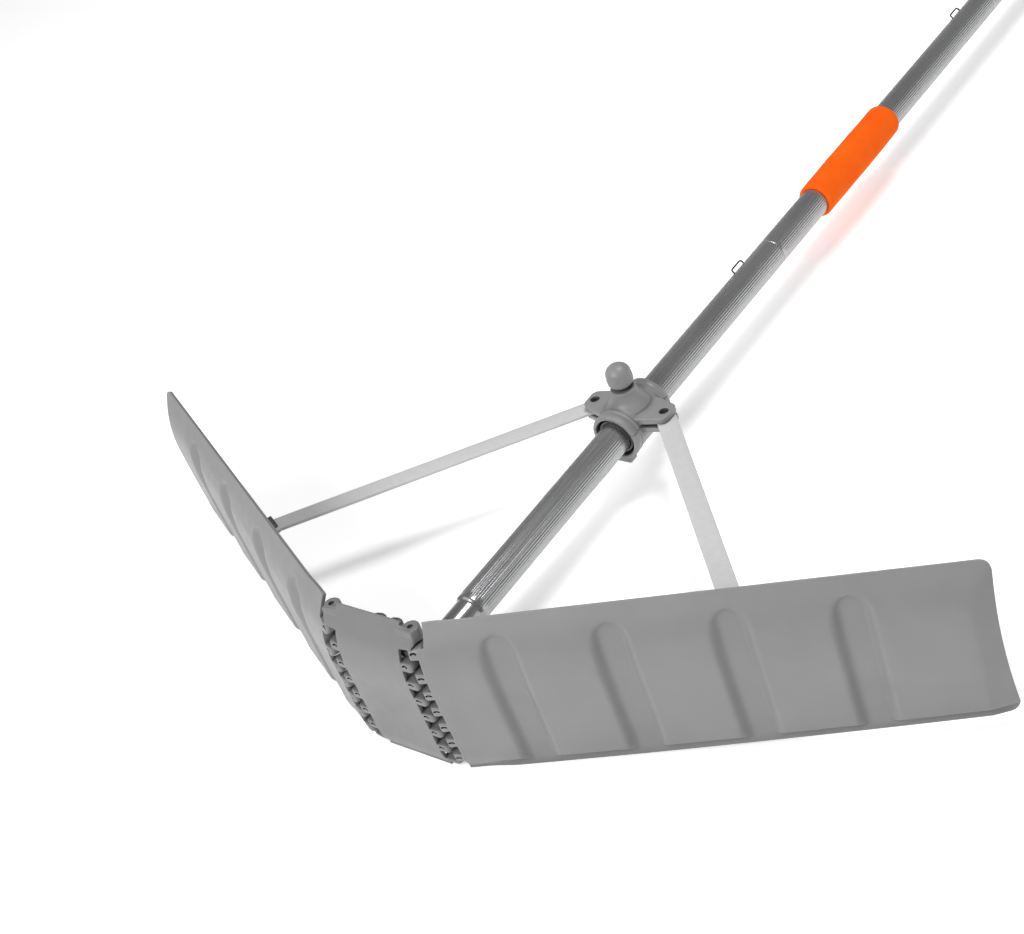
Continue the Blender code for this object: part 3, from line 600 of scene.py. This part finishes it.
PANEL = plastic("panel_plastic", 0.215, 0.44, 0.02 * MM)
# The same plastic as the wings, painted darker on the centre panel to stand in for shade.
PANEL_PAINTED_DARKER = plastic("panel_plastic_painted_darker", 0.185, 0.44, 0.02 * MM)
COLLAR = plastic("collar_plastic", 0.265, 0.40, 0.015 * MM)
DARK = plastic("dark_plastic", 0.075, 0.45, 0.02 * MM)
LINER = plastic("liner_plastic", 0.09, 0.32, 0.01 * MM)
TUBE = drawn_aluminium("pole_aluminium")
STRUT = metal("strut_metal", (0.62, 0.62, 0.625), 0.42, 0.06, 0.0)
BRACKET = metal("bracket_metal", (0.16, 0.16, 0.165), 0.42, 0.2, 0.6)
STEEL = metal("fastener_steel", (0.52, 0.52, 0.53), 0.30, 0.25)
BLACK = metal("dark_steel", (0.02, 0.02, 0.021), 0.45, 0.3, 0.0)
FOAM = foam("grip_foam")


# ---------------------------------------------------------------- blade

def groove_share(u, z):
    """1 on the flat face between grooves, 0 on a groove's floor."""
    shares = []
    for groove in GROOVES_U:
        away = math.hypot(u - groove, max(z - GROOVE_TOP_Z, 0.0))
        shares.append((away - GROOVE_FLOOR) / (GROOVE_RIM - GROOVE_FLOOR))
    return min(shares)


def wing_depth(u, z):
    """How far forward of the hinge axis a wing's front is."""
    beside_hinge = through(HINGE_PROFILE, z)
    bottom = (z - 4.5 * MM) / (6 * MM)
    top = (BLADE_HEIGHT - z) / (29 * MM)
    end = (WING_LENGTH - u) / END_FACET
    rise = least((bottom, top, end, groove_share(u, z), 1.0), 0.07)
    face = through(RIM_PROFILE, z) + EMBOSS * max(rise + 0.04, 0.0) / 0.93
    face -= END_SETBACK * (1 - z / BLADE_HEIGHT) * (1 - ramp(end, 0, 1))
    face += LIP * (1 - ramp(z, 0, LIP_HEIGHT)) ** 2
    return beside_hinge + (face - beside_hinge) * smooth(u, 18 * MM, 45 * MM)


def wing_end(z):
    """Where the wing's outer edge is: hollow at mid height, with round corners."""
    centre = 0.59 * BLADE_HEIGHT
    end = WING_LENGTH - END_HOLLOW * (1 - ((z - centre) / centre) ** 2)
    for radius, height in ((TOP_CORNER_R, BLADE_HEIGHT - z), (BOTTOM_CORNER_R, z)):
        if height < radius:
            end -= radius - math.sqrt(radius**2 - (radius - height) ** 2)
    return end


def wing_heights():
    """Rows up a wing, closer together where its outline and face turn."""
    fine = 0.7 * MM
    rows = steps(0, 18 * MM, fine)
    rows += steps(18 * MM, 108 * MM, 2 * MM)[1:]
    rows += steps(108 * MM, BLADE_HEIGHT, fine)[1:]
    return rows


def curved_sheet(us, zs, place):
    """A grid through place(u, z), thickened backwards, with rounded rims."""
    shape = bmesh.new()
    rows = [[shape.verts.new(place(u, z)) for u in us] for z in zs]
    for lower, upper in zip(rows, rows[1:]):
        for i in range(len(us) - 1):
            shape.faces.new((lower[i], lower[i + 1], upper[i + 1], upper[i]))
    thing = to_object("sheet", shape)
    wall = thing.modifiers.new("wall", "SOLIDIFY")
    wall.thickness = SHEET
    wall.offset = -1
    wall.use_even_offset = True
    thing = applied(thing)
    for vert in thing.data.vertices:
        vert.co.z = min(max(vert.co.z, 0), BLADE_HEIGHT)
    return bevelled(thing, 1.1 * MM, 3, 82)


def knuckle(span, edge, tip, radius, rounding, crown):
    """A hinge knuckle whose panel lies towards +X of the pin, between two heights.

    Its front follows the panel's; its lower end is rounded a little, its upper end more.
    """
    low, high = span
    turn = steps(0, math.pi / 2, math.pi / 6)
    levels = [(low + rounding * (1 - math.cos(a)), rounding * (1 - math.sin(a))) for a in turn]
    levels += [(z, 0.0) for z in steps(low + rounding, high - crown, 2 * MM)[1:-1]]
    levels += [(high - crown * (1 - math.cos(a)), crown * (1 - math.sin(a)))
               for a in reversed(turn)]
    root = edge + 4 * MM
    rings = []
    for height, inward in levels:
        face = through(HINGE_PROFILE, height) - 0.05 * MM
        front = max(face, radius)
        nose = [(root, -face), (-tip, -front), (-tip, -0.4 * front)]
        outline = [(root, 2.5 * MM - face)] + rounded(nose, 4 * MM, 6, closed=False)
        outline += arc((0, 0), radius, 180, 0, 18)
        rings.append([(x, y, height) for x, y in inset(outline, inward)])
    shape = bmesh.new()
    skin(shape, rings)
    hole = [(x, y) for x, y in arc((0, 0), PIN_HOLE_R, 0, 345, 23)]
    skin(shape, [[(x, y, height) for x, y in hole] for height in (low, high)])
    for height in (low, high):
        rim = [edge for edge in shape.edges if edge.is_boundary
               and all(abs(vert.co.z - height) < 0.01 * MM for vert in edge.verts)]
        bmesh.ops.triangle_fill(shape, edges=rim, use_beauty=True)
    return to_object("knuckle", shape)


def core_slot(height, edge):
    """A cutter for the arched slot in front of a knuckle."""
    outline = arc((0, -1.6 * MM), 3.4 * MM, 30, 150, 10)
    outline += arc((0, -2.6 * MM), 2.6 * MM, 140, 40, 8)
    centre = edge - 3.6 * MM
    depth = through(HINGE_PROFILE, height)
    ring = [(centre + x, height + y) for x, y in outline]
    return loft([[(x, -depth - MM, y) for x, y in ring],
                 [(x, -depth + 4 * MM, y) for x, y in ring]])


def tongues(spans, edge, tip, crown):
    row = []
    for span in spans:
        piece = knuckle(span, edge, tip, BARREL_R, 1.1 * MM, crown)
        row.append(cut_by(piece, core_slot(span[0] + 4.6 * MM, edge)))
    return row


def repeated(span, count):
    return [(span[0] + TONGUE_PITCH * i, span[1] + TONGUE_PITCH * i) for i in range(count)]


def build_wings():
    """Both wings: an embossed sheet with a row of hinge tongues."""
    us = steps(WING_EDGE, WING_LENGTH, 2 * MM)
    pull = WING_LENGTH - 2 * END_FACET

    def place(u, z):
        start = WING_EDGE
        if z > TOP_KNUCKLE[0] - GAP:
            start = 8.8 * MM + 1.7 * MM * ramp(z, TOP_KNUCKLE[0], TOP_KNUCKLE[1] - 4 * MM)
        if u < 20 * MM:
            u = 20 * MM - (20 * MM - u) * (20 * MM - start) / (20 * MM - WING_EDGE)
        if u > pull:
            u = pull + (u - pull) * (wing_end(z) - pull) / (WING_LENGTH - pull)
        lift = BOTTOM_LIFT * (u / WING_LENGTH) ** 2 * (1 - z / BLADE_HEIGHT)
        return (u, -wing_depth(u, z), z + lift)

    face = curved_sheet(us, wing_heights(), place)
    row = tongues(repeated(WING_TONGUE, TONGUES - 1) + [TOP_WING_TONGUE], WING_EDGE, WING_TIP,
                  1.6 * MM)
    width, front, back = RIB
    row.append(box((WING_EDGE, front, TOP_WING_TONGUE[0] - RIB_DROP),
                   (WING_EDGE + width, back, TOP_WING_TONGUE[0] + MM)))
    half, low, high = PAD
    pad = slab(rounded([(PIVOT_U - half, low), (PIVOT_U + half, low), (PIVOT_U + half, high),
                        (PIVOT_U - half, high)], 3 * MM), 0, PAD_THICK, 0.4 * MM)
    pad.data.transform(Matrix.Translation((0, BRACKET_FACE - GAP, 0))
                       @ Matrix.Rotation(math.radians(90), 4, "X"))
    wing = merged("wing", [face, pad] + row)
    other = mirrored(wing)
    for side, piece, word in ((1, wing, "right"), (-1, other, "left")):
        piece.data.transform(on_wing(side))
        finished(piece, word + "_wing_panel_shell", word + "_wing", "panel_plastic", PANEL,
                 word + "_wing_panel", sharp=50)


def build_centre():
    """The middle panel: a sheet between two rows of tongues, a barrel at each upper corner."""
    edge = HINGE.x - CENTRE_EDGE
    outer = HINGE.x + 4 * MM

    def place(x, z):
        reach = edge if z < TOP_KNUCKLE[0] - 0.5 * MM else outer
        if z > TOP_KNUCKLE[1]:
            reach = outer - (outer - edge) * ramp(z, TOP_KNUCKLE[1], TOP_KNUCKLE[1] + MM)
        return (x / outer * reach, HINGE.y - through(HINGE_PROFILE, z), z)

    pieces = [curved_sheet(steps(-outer, outer, 2 * MM), steps(0, BLADE_HEIGHT, 1.1 * MM), place)]
    row = tongues(repeated(CENTRE_TONGUE, TONGUES), CENTRE_EDGE, CENTRE_TIP, 1.4 * MM)
    low = CENTRE_TONGUE[1] + TONGUE_PITCH * (TONGUES - 1)
    high = TOP_WING_TONGUE[0] - GAP
    side, front, back = SPACER_WEB
    row.append(turned([(PIN_HOLE_R, low), (SPACER_R, low), (SPACER_R, high), (PIN_HOLE_R, high)],
                      Matrix.Identity(4), 32, closed=True))
    row.append(box((side, front, low), (CENTRE_EDGE + MM, back, high)))
    row.append(knuckle(TOP_KNUCKLE, CENTRE_EDGE, TOP_KNUCKLE_TIP, TOP_KNUCKLE_R, 2.6 * MM,
                       1.6 * MM))
    left = merged("left_knuckles", row)
    left.data.transform(Matrix.Translation((-HINGE.x, HINGE.y, 0)))
    pieces += [left, mirrored(left)]
    for node in ("socket_screw_1", "socket_screw_2", "socket_screw_3", "socket_screw_4"):
        at = middle(node)
        front = HINGE.y - through(HINGE_PROFILE, at.z) + SHEET / 2
        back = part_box("pole_socket")[0].y - GAP
        pieces.append(rod(5 * MM, (at.x, front, at.z), (at.x, back, at.z), 32))
    centre = merged("centre", pieces)
    finished(centre, "centre_panel_shell", "frame", "panel_plastic", PANEL_PAINTED_DARKER, "centre_panel",
             sharp=50)


def build_pins():
    """Hinge pins with rolled ends."""
    for word in ("left", "right"):
        node = word + "_hinge_pin"
        low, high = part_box(node)
        at = middle(node)
        radius = (high.x - low.x) / 2
        profile = rounded([(0, low.z), (radius, low.z), (radius, high.z), (0, high.z)],
                          0.7 * MM, 4, closed=False)
        pin = turned(profile, Matrix.Translation((at.x, at.y, 0)), 32)
        finished(pin, node + "_rod", "frame", "fastener_steel", STEEL, node)


# ---------------------------------------------------------------- pole

FLUTES = 40
FLUTE_DEPTH = 0.4 * MM
TUBE_WALL = 1.2 * MM
LOWER_NECK = 84 * MM                # plain length of the lower section, in front of its flutes


def fluted_ring(y, radius, flute):
    points = []
    per_flute = 6
    for index in range(FLUTES * per_flute):
        angle = TURN * index / (FLUTES * per_flute)
        wave = 0.5 + 0.5 * math.cos(TURN * index / per_flute)
        r = radius - flute * wave**2
        points.append((r * math.cos(angle), y, POLE_Z + r * math.sin(angle)))
    return points


def build_pole():
    """Three fluted tubes, each with a plain neck that the one before it swallows."""
    names = ("lower", "middle", "upper")
    for name in names:
        node = name + "_pole_section"
        low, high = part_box(node)
        neck_r = TUBE_R - TUBE_WALL - GAP
        if name == "lower":
            start = low.y + LOWER_NECK
            shoulder = 4.2 * MM
            neck_r -= 0.4 * MM
        else:
            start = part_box(names[names.index(name) - 1] + "_pole_section")[1].y + GAP
            shoulder = 0.6 * MM
        rings = [fluted_ring(low.y, neck_r - 0.4 * MM, 0),
                 fluted_ring(low.y + 0.4 * MM, neck_r, 0)]
        count = 9
        for index in range(count + 1):
            t = index / count
            bend = t * t * (3 - 2 * t)
            quarter = t * math.pi / 2
            y = start + shoulder * (t if name == "lower" else 1 - math.cos(quarter))
            share = bend if name == "lower" else math.sin(quarter)
            rings.append(fluted_ring(y, neck_r + (TUBE_R - neck_r) * share, 0))
        flat = 1.5 * MM if name == "lower" else 0.2 * MM
        for share in (0.0, 0.35, 0.7, 1.0):
            y = start + shoulder + flat + 5 * MM * share
            rings.append(fluted_ring(y, TUBE_R, FLUTE_DEPTH * share))
        end = high.y
        rings.append(fluted_ring(end - 0.5 * MM, TUBE_R, FLUTE_DEPTH))
        rings.append(fluted_ring(end - 0.15 * MM, TUBE_R - 0.12 * MM, FLUTE_DEPTH * 0.6))
        rings.append(fluted_ring(end, TUBE_R - 0.4 * MM, 0))
        rings.append(fluted_ring(end, TUBE_R - TUBE_WALL, 0))
        rings.append(fluted_ring(start + shoulder + 2 * MM, TUBE_R - TUBE_WALL, 0))
        rings.append(fluted_ring(start - MM, neck_r - TUBE_WALL, 0))
        rings.append(fluted_ring(low.y, neck_r - TUBE_WALL, 0))
        finished(hollow(rings), name + "_tube", "frame", "pole_aluminium", TUBE, node, sharp=60)


def build_clips():
    """Wire clips: a U whose legs go through both tubes."""
    for name in ("lower", "upper"):
        node = name + "_clip"
        out = Vector(JOINTS[name + "_clip_pull"]["axis"]).normalized()
        half = 8.5 * MM
        crown = TUBE_R + 4 * MM
        corner = 2.5 * MM
        foot = TUBE_R - 3.5 * MM
        route = rounded([(half, foot), (half, crown), (-half, crown), (-half, foot)],
                        corner, 8, closed=False)
        centre = Vector((0, middle(node).y, POLE_Z))
        curve = bpy.data.curves.new(node, "CURVE")
        curve.dimensions = "3D"
        curve.bevel_depth = 0.8 * MM
        curve.bevel_resolution = 5
        curve.use_fill_caps = True
        spline = curve.splines.new("POLY")
        spline.points.add(len(route) - 1)
        for point, (along, radius) in zip(spline.points, route):
            point.co = (*(centre + Vector((0, along, 0)) + out * radius), 1)
        thing = bpy.data.objects.new(node, curve)
        bpy.context.scene.collection.objects.link(thing)
        clip = applied(thing)
        finished(clip, name + "_wire_clip", name + "_joint_clip", "dark_steel", BLACK, node)


def foam_sleeve(start, end, outer):
    """A foam grip: ends rolled in, crowned a little, its surface not quite even."""
    rings = []
    roll = 2.6 * MM
    count = 96
    stations = [(start + roll * (1 - math.cos(a)), roll * (1 - math.sin(a)))
                for a in steps(0, math.pi / 2, math.pi / 14)]
    stations += [(y, 0.0) for y in steps(start + roll, end - roll, 3 * MM)[1:-1]]
    stations += [(end + start - y, inward) for y, inward in reversed(stations[:8])]
    for y, inward in stations:
        crown = 0.35 * MM * math.sin(math.pi * (y - start) / (end - start))
        ring = []
        for index in range(count):
            angle = TURN * index / count
            ripple = 0.10 * MM * math.sin(3 * angle + y / (19 * MM))
            ripple += 0.07 * MM * math.sin(5 * angle - y / (7 * MM) + 1.3)
            radius = outer - 0.5 * MM - inward + crown + ripple
            ring.append((radius * math.cos(angle), y, POLE_Z + radius * math.sin(angle)))
        rings.append(ring)
    inner = TUBE_R + 0.1 * MM
    for y in (end - 0.2 * MM, start + 0.2 * MM):
        rings.append([(inner * math.cos(TURN * i / count), y,
                       POLE_Z + inner * math.sin(TURN * i / count)) for i in range(count)])
    return hollow(rings)


def build_grips():
    for node in ("middle_grip", "end_grip"):
        low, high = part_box(node)
        sleeve = foam_sleeve(low.y, high.y, high.x)
        finished(sleeve, node + "_foam", "frame", "grip_foam", FOAM, node, sharp=60)


def build_cap():
    """End cap: a domed plug with a raised rim."""
    low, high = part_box("end_cap")
    radius = high.x
    end = high.y
    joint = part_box("upper_pole_section")[1].y + GAP
    plug = TUBE_R - 1.5 * MM
    profile = rounded([(0, end), (13.5 * MM, end), (radius, end - 1.6 * MM), (radius, joint),
                       (plug, joint), (plug, low.y), (0, low.y)], 0.8 * MM, 5, closed=False)
    place = Matrix.Translation((0, 0, POLE_Z)) @ Matrix.Rotation(math.radians(-90), 4, "X")
    finished(turned(profile, place, 64), "pole_end_cap", "frame", "dark_plastic", DARK, "end_cap")


# ---------------------------------------------------------------- collar

COLLAR_Y = EAR.y
ALONG_Y = Matrix.Translation((0, COLLAR_Y, POLE_Z)) @ Matrix.Rotation(math.radians(-90), 4, "X")


def ear_outline(side):
    tip = EAR.x + 7.4 * MM
    points = rounded([(8 * MM, -18 * MM), (20 * MM, -16.5 * MM), (tip - 2.5 * MM, -10.5 * MM),
                      (tip, -6.5 * MM), (tip, 6.5 * MM), (tip - 2.5 * MM, 10.5 * MM),
                      (20 * MM, 16.5 * MM), (8 * MM, 18 * MM)], 4 * MM, 5, closed=False)
    if side < 0:
        points = [(-x, y) for x, y in reversed(points)]
    return [(x, y + COLLAR_Y) for x, y in points]


def collar_body():
    """The whole collar before it is split at the struts' height."""
    half = 30 * MM
    out = 23 * MM
    waist = out - 1.2 * MM
    ridge = 0.8 * MM
    profile = [(0, half), (out - 4 * MM, half), (out - 1.2 * MM, half - 2 * MM),
               (out - 0.6 * MM, half - 5 * MM), (waist, half - 9 * MM),
               (waist + ridge, half - 9.6 * MM), (waist + ridge, half - 11.2 * MM),
               (waist, half - 11.8 * MM), (waist, 11.8 * MM - half),
               (waist + ridge, 11.2 * MM - half), (waist + ridge, 9.6 * MM - half),
               (waist, 9 * MM - half), (out, 5 * MM - half), (out, 1.5 * MM - half),
               (out - 1.2 * MM, -half), (0, -half)]
    body = turned(rounded(profile, 1.2 * MM, 3, closed=False), ALONG_Y, 96)
    tabs = ((60.7 * MM, 65.7 * MM), (69.3 * MM, 75.3 * MM))
    for side in (1, -1):
        for low, high in tabs:
            body = joined(body, slab(ear_outline(side), low, high, 0.8 * MM))
    skirt = [(0, 70 * MM), (22.5 * MM, 70 * MM), (19.5 * MM, 78 * MM), (14.2 * MM, 85.5 * MM),
             (12.2 * MM, 90 * MM), (11.4 * MM, 95.3 * MM), (0, 95.3 * MM)]
    boss = turned(rounded(skirt, 2 * MM, 4, closed=False),
                  Matrix.Translation((0, COLLAR_Y, 0)), 64)
    foot = slab(rounded([(-9 * MM, COLLAR_Y - 29.5 * MM), (9 * MM, COLLAR_Y - 29.5 * MM),
                         (9 * MM, COLLAR_Y - 19 * MM), (-9 * MM, COLLAR_Y - 19 * MM)], 2 * MM),
                34.5 * MM, 43 * MM, 0.8 * MM)
    body = joined(body, boss, foot)
    sleeve = 17.1 * MM
    mouth = 19 * MM
    bore = [(0, half + MM), (mouth + 0.4 * MM, half + MM), (mouth, half - MM),
            (sleeve, half - 12 * MM), (sleeve, 12 * MM - half), (mouth, MM - half),
            (mouth + 0.4 * MM, -half - MM), (0, -half - MM)]
    chamber = turned([(0, POLE_Z), (6.3 * MM, POLE_Z), (6.3 * MM, 93.5 * MM),
                      (3.6 * MM, 93.5 * MM), (3.6 * MM, 100 * MM), (0, 100 * MM)],
                     Matrix.Translation((0, COLLAR_Y, 0)), 46)
    body = cut_by(body, joined(turned(bore, ALONG_Y, 98), chamber))
    for side in (1, -1):
        x = side * EAR.x
        hole = rod(3.3 * MM, (x, COLLAR_Y, 50 * MM), (x, COLLAR_Y, 80 * MM), 32)
        recess = rod(4.3 * MM, (x, COLLAR_Y, 71.8 * MM), (x, COLLAR_Y, 80 * MM), 40)
        body = cut_by(body, hole, recess)
    return body


def build_collar():
    whole = collar_body()
    lower = bpy.data.objects.new("lower", whole.data.copy())
    bpy.context.scene.collection.objects.link(lower)
    reach = 90 * MM
    split = EAR.z
    near = COLLAR_Y - reach
    far = COLLAR_Y + reach
    upper = cut_by(whole, box((-reach, near, 0), (reach, far, split + 0.1 * MM)))
    lower = cut_by(lower, box((-reach, near, split - 0.1 * MM), (reach, far, 2 * BLADE_HEIGHT)))
    for shell, word in ((upper, "upper"), (lower, "lower")):
        shell = moulded(shell, 0.5 * MM, 3)
        finished(shell, f"collar_{word}_moulding", "collar", "collar_plastic", COLLAR,
                 f"collar_{word}_shell", sharp=0)
    inner = TUBE_R + 0.25 * MM
    bush_half = 27.5 * MM
    section = rounded([(16.8 * MM, bush_half), (16.8 * MM, -bush_half), (inner, -bush_half),
                       (inner, bush_half)], 0.6 * MM, 4)
    finished(turned(section, ALONG_Y, 96, closed=True), "collar_liner", "collar", "dark_plastic",
             LINER, "collar_bushing")


def build_lock():
    """Pull knob: a smooth dome on a slightly waisted skirt."""
    low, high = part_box("lock_knob")
    base = low.z
    top = high.z
    radius = high.x
    crown = [(0.97 * radius * math.sin(a), top - 0.8 * radius * (1 - math.cos(a)))
             for a in steps(0, math.radians(80), math.radians(6.5))]
    skirt = [(radius, top - 13 * MM), (radius - 0.3 * MM, base + 3.4 * MM),
             (radius - 2.8 * MM, base)]
    under = [(3.3 * MM, base), (3.3 * MM, top - 8 * MM), (0, top - 8 * MM)]
    profile = crown + rounded([crown[-1]] + skirt + under, 1.2 * MM, 5, closed=False)[1:]
    knob = turned(profile, Matrix.Translation((0, COLLAR_Y, 0)), 72)
    finished(knob, "lock_knob_dome", "lock", "collar_plastic", COLLAR, "lock_knob")


def recess(kind, radius, depth):
    """A cutter for a screw head: a hexagon, or a cross."""
    if kind == "hex":
        return rod(radius, (0, 0, -depth), (0, 0, MM), 6)
    arm = radius * 0.24
    first = box((-radius, -arm, -depth), (radius, arm, MM))
    second = box((-arm, -radius, -depth), (arm, radius, MM))
    return joined(first, second)


def screw(head_r, shank_r, head, shank, kind):
    """A screw whose head stands on z = 0 and whose shank points down."""
    profile = [(0, head), (head_r * 0.55, head * 0.96), (head_r * 0.9, head * 0.62),
               (head_r, 0.3 * head), (head_r, 0), (shank_r, 0), (shank_r, -shank), (0, -shank)]
    body = turned(rounded(profile, 0.35 * MM, 3, closed=False), Matrix.Identity(4), 40)
    cutter = recess(kind, head_r * 0.55, head * 0.55)
    cutter.data.transform(Matrix.Translation((0, 0, head)))
    return cut_by(body, cutter)


def build_screws():
    towards_front = Matrix.Rotation(math.radians(-90), 4, "X")
    for number in range(1, 5):
        node = f"socket_screw_{number}"
        low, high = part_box(node)
        at = middle(node)
        body = screw(4 * MM, 1.7 * MM, 2.2 * MM, 10 * MM, "cross")
        body.data.transform(Matrix.Translation((at.x, high.y - 2.2 * MM, at.z)) @ towards_front)
        finished(body, node + "_pan_head", "frame", "fastener_steel", STEEL, node)
    for side, word in ((1, "right"), (-1, "left")):
        node = word + "_pivot_screw"
        low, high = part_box(node)
        body = screw(4 * MM, 3 * MM, 2 * MM, high.z - 2 * MM - low.z, "hex")
        body.data.transform(Matrix.Translation((side * EAR.x, COLLAR_Y, high.z - 2 * MM)))
        finished(body, node + "_body", "collar", "dark_steel", BLACK, node)
        for number in (1, 2):
            node = f"{word}_bracket_screw_{number}"
            z = middle(node).z
            body = screw(3.4 * MM, 1.3 * MM, 2 * MM, 5 * MM, "cross")
            seat = BRACKET_FACE + BRACKET_PLATE + GAP
            body.data.transform(on_wing(side) @ Matrix.Translation((side * PIVOT_U, seat, z))
                                @ towards_front)
            finished(body, node + "_pan_head", word + "_wing", "fastener_steel", STEEL, node)


def nut(radius, low, high, bore):
    """A hexagon nut or bolt head with the round chamfer that a washer face leaves."""
    cone = turned([(bore, low - MM), (radius * 0.86, low - 0.01 * MM),
                   (radius * 1.02, low + 0.9 * MM), (radius * 1.02, high - 0.9 * MM),
                   (radius * 0.86, high + 0.01 * MM), (bore, high + MM)],
                  Matrix.Identity(4), 47, closed=bore > 0)
    return combined(rod(radius, (0, 0, low), (0, 0, high), 6), cone, "INTERSECT")


def build_nuts():
    for side, word in ((1, "right"), (-1, "left")):
        node = word + "_pivot_nut"
        low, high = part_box(node)
        body = nut(5.6 * MM, low.z, high.z, 3.1 * MM)
        body.data.transform(Matrix.Translation((side * EAR.x, COLLAR_Y, 0)))
        finished(body, node + "_hex", "collar", "fastener_steel", STEEL, node)
        for node in (word + "_bracket_bolt", word + "_bracket_nut"):
            low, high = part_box(node)
            above = node.endswith("bolt")
            seat = high.z - 4 * MM if above else low.z
            head = nut(5.5 * MM, seat, seat + 4 * MM, 0)
            shank = rod(3 * MM, (0, 0, low.z + 0.2 * MM), (0, 0, high.z - 0.2 * MM), 32)
            body = merged(node, [head, shank])
            body.data.transform(on_wing(side) @ Matrix.Translation((side * PIVOT_U, PIVOT_BACK, 0)))
            material = BLACK if above else STEEL
            finished(body, node + "_hex", word + "_wing", "fastener_steel", material, node)


# ---------------------------------------------------------------- struts and brackets

def build_struts():
    low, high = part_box("right_strut")
    target = Vector((BOLT.x, BOLT.y))
    start = Vector((EAR.x, EAR.y))
    way = target - start
    half = 9 * MM
    outline = arc((0, 0), half, 90, 270, 20) + arc((way.length, 0), half, -90, 90, 20)
    bar = slab(outline, low.z, high.z, 0.55 * MM)
    for x in (0, way.length):
        bar = cut_by(bar, rod(3.3 * MM, (x, 0, low.z - MM), (x, 0, high.z + MM), 32))
    angle = math.atan2(way.y, way.x)
    bar.data.transform(Matrix.Translation((start.x, start.y, 0)) @ Matrix.Rotation(angle, 4, "Z"))
    other = mirrored(bar)
    for piece, word in ((bar, "right"), (other, "left")):
        finished(piece, word + "_strut_bar", word + "_arm", "strut_metal", STRUT, word + "_strut")


# Cut off a bracket's cheeks on each side: (away from the pivot, behind the axis), in mm
CHEEK_CUT = ((8.5, 30), (8.5, 3), (20, -8.2), (40, -8.2), (40, 30))


def trimmed_bracket(piece, side):
    """The cheeks of a wing bracket narrow from its plate to the pivot."""
    for way in (1, -1):
        outline = [(PIVOT_U + way * u * MM, y * MM) for u, y in CHEEK_CUT]
        tool = slab(outline[::way], 0, BLADE_HEIGHT, 0.01 * MM)
        if side < 0:
            other = mirrored(tool)
            bpy.data.objects.remove(tool)
            tool = other
        tool.data.transform(on_wing(side))
        piece = cut_by(piece, tool)
    return piece


def build_carried():
    """CAD pieces whose shape is right: refined copies with softened edges."""
    for node, body, slot, material, voxel in (
            ("pole_socket", "frame", "dark_plastic", DARK, 0.7 * MM),
            ("left_wing_bracket", "left_wing", "bracket_metal", BRACKET, 0.45 * MM),
            ("right_wing_bracket", "right_wing", "bracket_metal", BRACKET, 0.45 * MM)):
        piece = copied(node)
        if node.endswith("bracket"):
            piece = trimmed_bracket(piece, 1 if node.startswith("right") else -1)
        piece = moulded(piece, voxel, 2)
        finished(piece, node + "_soft", body, slot, material, node, sharp=0)
    for node in ("plunger_pin", "plunger_spring"):
        thing = frame["nodes"][node]
        thing.data.materials.clear()
        thing.data.materials.append(STEEL)


# ---------------------------------------------------------------- studio

def build_studio():
    size = 6.0
    shape = bmesh.new()
    bmesh.ops.create_grid(shape, x_segments=2, y_segments=2, size=size)
    floor = to_object("studio_floor", shape)
    n = Nodes("studio_floor")
    tone = n.mix(n.remap(n.noise(1.2, 2.0), 0.3, 0.7, 0.0, 1.0), grey(0.93), grey(0.95))
    n.set(Base_Color=tone, Roughness=0.9, Emission_Color=(1, 1, 1, 1),
          Emission_Strength=FLOOR_GLOW)
    n.set(**{"Specular IOR Level": 0.0})
    floor.data.materials.append(n.material)

    world = bpy.data.worlds.new("studio")
    bpy.context.scene.world = world
    world.use_nodes = True
    tree = world.node_tree
    sky = tree.nodes["Background"]
    place = tree.nodes.new("ShaderNodeTexCoord")
    height = tree.nodes.new("ShaderNodeSeparateXYZ")
    tone = tree.nodes.new("ShaderNodeMapRange")
    for name, number in (("From Min", 0.05), ("From Max", 0.6), ("To Min", 0.35), ("To Max", 0.12)):
        tone.inputs[name].default_value = number
    tree.links.new(place.outputs["Generated"], height.inputs[0])
    tree.links.new(height.outputs["Z"], tone.inputs["Value"])
    tree.links.new(tone.outputs["Result"], sky.inputs["Strength"])
    sky.inputs["Color"].default_value = (1, 1, 1, 1)

    for name, (place, size, power) in LIGHTS.items():
        lamp = bpy.data.lights.new(name, "AREA")
        lamp.shape = "DISK"
        lamp.size = size
        lamp.energy = power
        thing = bpy.data.objects.new(name, lamp)
        thing.location = place
        thing.rotation_euler = (Vector(place) - LIT_SPOT).to_track_quat("Z", "Y").to_euler()
        bpy.context.scene.collection.objects.link(thing)


def build_camera():
    data = bpy.data.cameras.new("camera")
    data.lens = CAMERA_LENS
    data.sensor_width = 36
    data.clip_start = 0.01
    camera = bpy.data.objects.new("camera", data)
    camera.location = CAMERA_PLACE
    camera.rotation_euler = Euler([math.radians(angle) for angle in CAMERA_ANGLES])
    bpy.context.scene.collection.objects.link(camera)
    bpy.context.scene.camera = camera


# ---------------------------------------------------------------- assembly

build_camera()
build_studio()
build_wings()
build_centre()
build_pins()
build_pole()
build_clips()
build_grips()
build_cap()
build_collar()
build_lock()
build_screws()
build_nuts()
build_struts()
build_carried()

bpy.context.scene.view_settings.view_transform = "Standard"
